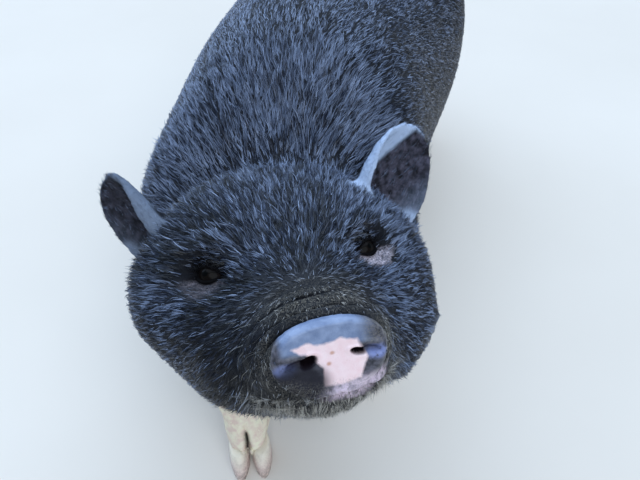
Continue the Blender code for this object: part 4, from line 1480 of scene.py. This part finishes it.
def grow_coat(surface, shares, head, marks, faces):
    """The coat's pieces, each tuft in the piece of the region that has most of it."""
    rng = np.random.default_rng(SEED)
    density, length, width, lift = coat_measures(surface, shares, head, marks)
    fields = {"co": surface.co, "lie": lie_of_coat(surface, shares, head), "density": density,
              "length": length, "width": width, "lift": lift, "painted_light": painted_light_of_coat(surface, shares, head),
              "stray": COAT_STRAY, "glint_share": GLINT_SHARE, **{key: marks[key] for key in COAT_MARKS}}
    picked = faces.roots(density, rng)
    tufts = tuft_rows(faces, picked, fields, rng)
    tufts["region"] = np.stack([faces.at(shares[name], *picked) for name in COAT], axis=1).argmax(axis=1)
    material = coat_material()
    pieces = []
    for name, chosen in coat_pieces(tufts):
        part = {key: values[chosen] for key, values in tufts.items()}
        pieces.append(blades(name, part, material, COAT_MARKS))
        print(name, "%d tufts" % chosen.sum())
    return pieces


# ---------------------------------------------------------------- whiskers, lashes, eyes and claws

def grow_whiskers(surface, head, marks, faces, shares):
    """Whiskers beside the muzzle and on the chin, brow hairs and lashes, standing off the skin."""
    rng = np.random.default_rng(SEED + 1)
    material = whisker_material()
    aside, ahead, up = head.local(surface.co).T
    ones, zeros = np.ones(len(up)), np.zeros(len(up))
    fields = {"co": surface.co, "lie": lie_of_coat(surface, shares, head), "density": ones / CM ** 2,
              "stray": WHISKER_STRAY, "glint_share": 0.0, **dict.fromkeys(("length", "width", "lift"), ones),
              **dict.fromkeys(("painted_light", *COAT_MARKS), zeros)}
    made = []

    def grow(name, weight, number, length, width, lift, pale=1.0, fields=fields):
        """Sparse hairs rooted where weight says; their length and width are in millimetres."""
        tufts = tuft_rows(faces, faces.roots(weight, rng, number), fields, rng)
        tufts["length"] = length * MM * rng.uniform(0.55, 1.15, number)
        tufts["width"] = np.full(number, width * MM)
        tufts["lift"] = lift * rng.uniform(0.6, 1.25, number)
        tufts["bow"] = rng.uniform(0.15, 0.5, number)
        tufts["shade"] = pale * rng.random(number)
        made.append(blades(name, tufts, material, ()))

    bare = (1 - marks["disc"]) * (1 - marks["nostril"])
    beside = smoothstep(ahead, 3.5, 7.5) * smoothstep(np.abs(aside), 2.6, 3.8) * bare
    chin = smoothstep(ahead, 2.5, 6.5) * smoothstep(-up, 7.2, 8.4) * bare
    grow("whiskers_muzzle", beside, 110, 14, 0.20, 0.6)
    grow("whiskers_chin", chin, 500, 9, 0.22, 0.5)
    for name in EYES:
        gaze, _, over = eye_axes(name, head)
        _, rise, margin, facing = lid_angles(surface.co, name, head)
        close = near(surface.co, middle_of(name), 2.0 * EYE_RADIUS) & (facing > 0.1)
        rim = ring(margin, 6, 2.5) * close * smoothstep(rise, 0.02, 0.12)
        forward = np.broadcast_to(unit(gaze * 0.4 + over), surface.co.shape)
        grow("lashes_" + name, rim, 60, 6.5, 0.18, 0.8, 0.0, dict(fields, lie=forward, stray=LASH_STRAY))
        brow = ring(margin, 52, 14) * close * smoothstep(rise, 0.1, 0.4)
        grow("brow_" + name, brow, 24, 12, 0.20, 0.7, 0.4)
    return made


EYEBALL_RADIUS = 11.0 * MM
CORNEA_ANGLE = math.radians(36)
CORNEA_BULGE = 0.07


def make_eye(name, head, material):
    """An eyeball whose cornea stands proud, its own Z axis along its gaze."""
    gaze, along, _ = eye_axes(name, head)
    bm = bmesh.new()
    bmesh.ops.create_uvsphere(bm, u_segments=56, v_segments=40, radius=EYEBALL_RADIUS)
    for vertex in bm.verts:
        angle = math.acos(max(-1.0, min(1.0, vertex.co.z / EYEBALL_RADIUS)))
        share = max(0.0, 1 - (angle / CORNEA_ANGLE) ** 2)
        vertex.co *= 1 + CORNEA_BULGE * share ** 1.5
    ball = linked(bm, "ball_" + name, material)
    turn = Matrix(np.stack([along, np.cross(gaze, along), gaze], axis=1).tolist()).to_4x4()
    ball.matrix_world = Matrix.Translation(middle_of(name)) @ turn
    return ball


RING_DEPTH = 0.16 * MM  # of the rings round a claw's wall, and their height over 2 pi
RING_PITCH = 1.1 * MM
SOLE_DEPTH = 1.2 * MM  # how much of a claw is pressed flat on the ground


def make_claw(node, material):
    """A claw with a rounded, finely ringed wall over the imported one's flat sole."""
    bm = bmesh.new()
    grown_copy(bm, node, 0.1 * MM)
    claw = linked(bm, node.name.replace("hoof", "claw"))
    remeshed(claw, 1.3 * MM)
    surface = Surface(claw)
    surface.relax(10, 0.5)
    height = surface.co[:, 2].copy()
    surface.push(RING_DEPTH * np.sin(height / RING_PITCH) * smoothstep(height, 2 * MM, 6 * MM))
    surface.co[:, 2] = np.where(height < SOLE_DEPTH, 0.0, height)
    surface.refresh()
    claw.data.shade_smooth()
    claw.data.materials.append(material)
    return claw


DEWCLAW_RADIUS = 0.62 * CM
DEWCLAW_ASIDE = 1.65 * CM
DEWCLAW_BACK = 3.75 * CM  # from the middle of the two claws
DEWCLAW_UP = 3.7 * CM


def make_dewclaws(leg, material):
    """The two small horn tips behind the pastern."""
    inner, outer = claws_of(leg)
    middle = (inner + outer) / 2
    aside = Vector((outer.x - inner.x, outer.y - inner.y, 0.0)).normalized()
    back = Vector((-aside.y, aside.x, 0.0))
    if back.y < 0:
        back.negate()
    turn = Matrix((aside, back, Vector((0, 0, 1)))).transposed().to_4x4()
    bm = bmesh.new()
    for side in (1, -1):
        tip = bmesh.ops.create_uvsphere(bm, u_segments=20, v_segments=14, radius=DEWCLAW_RADIUS)["verts"]
        for vertex in tip:
            drop = min(vertex.co.z, 0.0)
            vertex.co.x *= 1 + 0.9 * drop / CM
            vertex.co.y *= 1 + 0.7 * drop / CM
            vertex.co.z *= 1.35
            vertex.co = vertex.co + Vector((0.0, 0.35 * drop, 0.0))
        place = middle + aside * (side * DEWCLAW_ASIDE) + back * DEWCLAW_BACK
        place.z = DEWCLAW_UP
        bmesh.ops.transform(bm, matrix=Matrix.Translation(place) @ turn, verts=tip)
    return linked(bm, "dewclaws_" + leg, material)


# ---------------------------------------------------------------- camera and light

def set_camera(head):
    ahead = Vector((0.0, math.cos(CAMERA_PITCH), -math.sin(CAMERA_PITCH)))
    above = Vector((0.0, math.sin(CAMERA_PITCH), math.cos(CAMERA_PITCH)))
    right = Vector((1.0, 0.0, 0.0))
    yaw = Matrix.Rotation(CAMERA_YAW, 3, "Z")
    ahead, above, right = yaw @ ahead, yaw @ above, yaw @ right
    across = right * math.cos(CAMERA_ROLL) + above * math.sin(CAMERA_ROLL)
    up = above * math.cos(CAMERA_ROLL) - right * math.sin(CAMERA_ROLL)
    lens = bpy.data.cameras.new("camera")
    lens.lens = CAMERA_LENS
    lens.sensor_width = 36.0
    lens.clip_start = 0.01
    camera = link("camera", lens)
    camera.matrix_world = Matrix((across, up, -ahead)).transposed().to_4x4()
    camera.matrix_world.translation = Vector(head.at) + CAMERA_FROM_HEAD
    bpy.context.scene.camera = camera


SKY = (0.60, 0.77, 1.0)


def soft_sun(name, towards, spread, power, colour):
    """A wide, even light from far away; towards points from the pig to it."""
    lamp = bpy.data.lights.new(name, "SUN")
    lamp.angle = spread
    lamp.energy = power
    lamp.color = colour
    item = link(name, lamp)
    item.rotation_euler = Vector(towards).to_track_quat("Z", "Y").to_euler()


def set_light():
    scene = bpy.context.scene
    scene.world = bpy.data.worlds.new("studio")
    scene.world.use_nodes = True
    back = scene.world.node_tree.nodes["Background"]
    back.inputs["Color"].default_value = (*SKY, 1.0)
    back.inputs["Strength"].default_value = 0.42
    soft_sun("sky", (-0.10, 0.50, 0.86), math.radians(75), 2.6, SKY)
    soft_sun("front", (0.42, -0.48, 0.77), math.radians(50), 1.6, (0.84, 0.92, 1.0))
    soft_sun("edge", (-0.84, 0.46, 0.30), math.radians(40), 1.1, (0.50, 0.70, 1.0))
    scene.view_settings.view_transform = "Standard"


FLOOR_HALF = 40.0


def lay_floor():
    bm = bmesh.new()
    bmesh.ops.create_grid(bm, x_segments=1, y_segments=1, size=FLOOR_HALF)
    floor = linked(bm, "floor", floor_material())


def paint_skin(skin, marks):
    for name, values in marks.items():
        layer = skin.data.attributes.new(name, "FLOAT", "POINT")
        layer.data.foreach_set("value", np.clip(values, 0, 1).astype(np.float32))
    skin.data.materials.clear()
    skin.data.materials.append(skin_material())
    skin.data.shade_smooth()


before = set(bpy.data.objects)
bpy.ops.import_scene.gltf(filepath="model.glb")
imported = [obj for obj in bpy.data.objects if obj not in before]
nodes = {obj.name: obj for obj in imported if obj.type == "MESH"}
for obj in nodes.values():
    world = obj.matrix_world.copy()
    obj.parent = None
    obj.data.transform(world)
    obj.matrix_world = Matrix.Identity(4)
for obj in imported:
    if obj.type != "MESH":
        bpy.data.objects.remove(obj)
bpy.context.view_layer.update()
head = Head()
set_camera(head)
set_light()
lay_floor()

surface = base_skin(nodes, head)
sculpt_disc(surface, head)
sculpt_face(surface, head)
sculpt_mouth(surface, head)
shares = region_shares(surface, nodes)
sculpt_body(surface, shares)
sculpt_feet(surface)
marks = markings(surface, shares, head)
skin = surface.item
paint_skin(skin, marks)
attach(skin, "root")
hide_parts(*FLESH)

eye_finish = eye_material()
for name in EYES:
    ball = make_eye(name, head, eye_finish)
    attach(ball, "root")
    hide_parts(name)

horn = hoof_material()
for name, node in nodes.items():
    if name.startswith("hoof"):
        claw = make_claw(node, horn)
        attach(claw, "root")
        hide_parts(name)
for leg in LEGS:
    dewclaws = make_dewclaws(leg, horn)
    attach(dewclaws, "root")

faces = Faces(surface, unwrapped_places(skin))
hair = grow_coat(surface, shares, head, marks, faces) + grow_whiskers(surface, head, marks, faces, shares)
for piece in hair:
    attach(piece, "root")
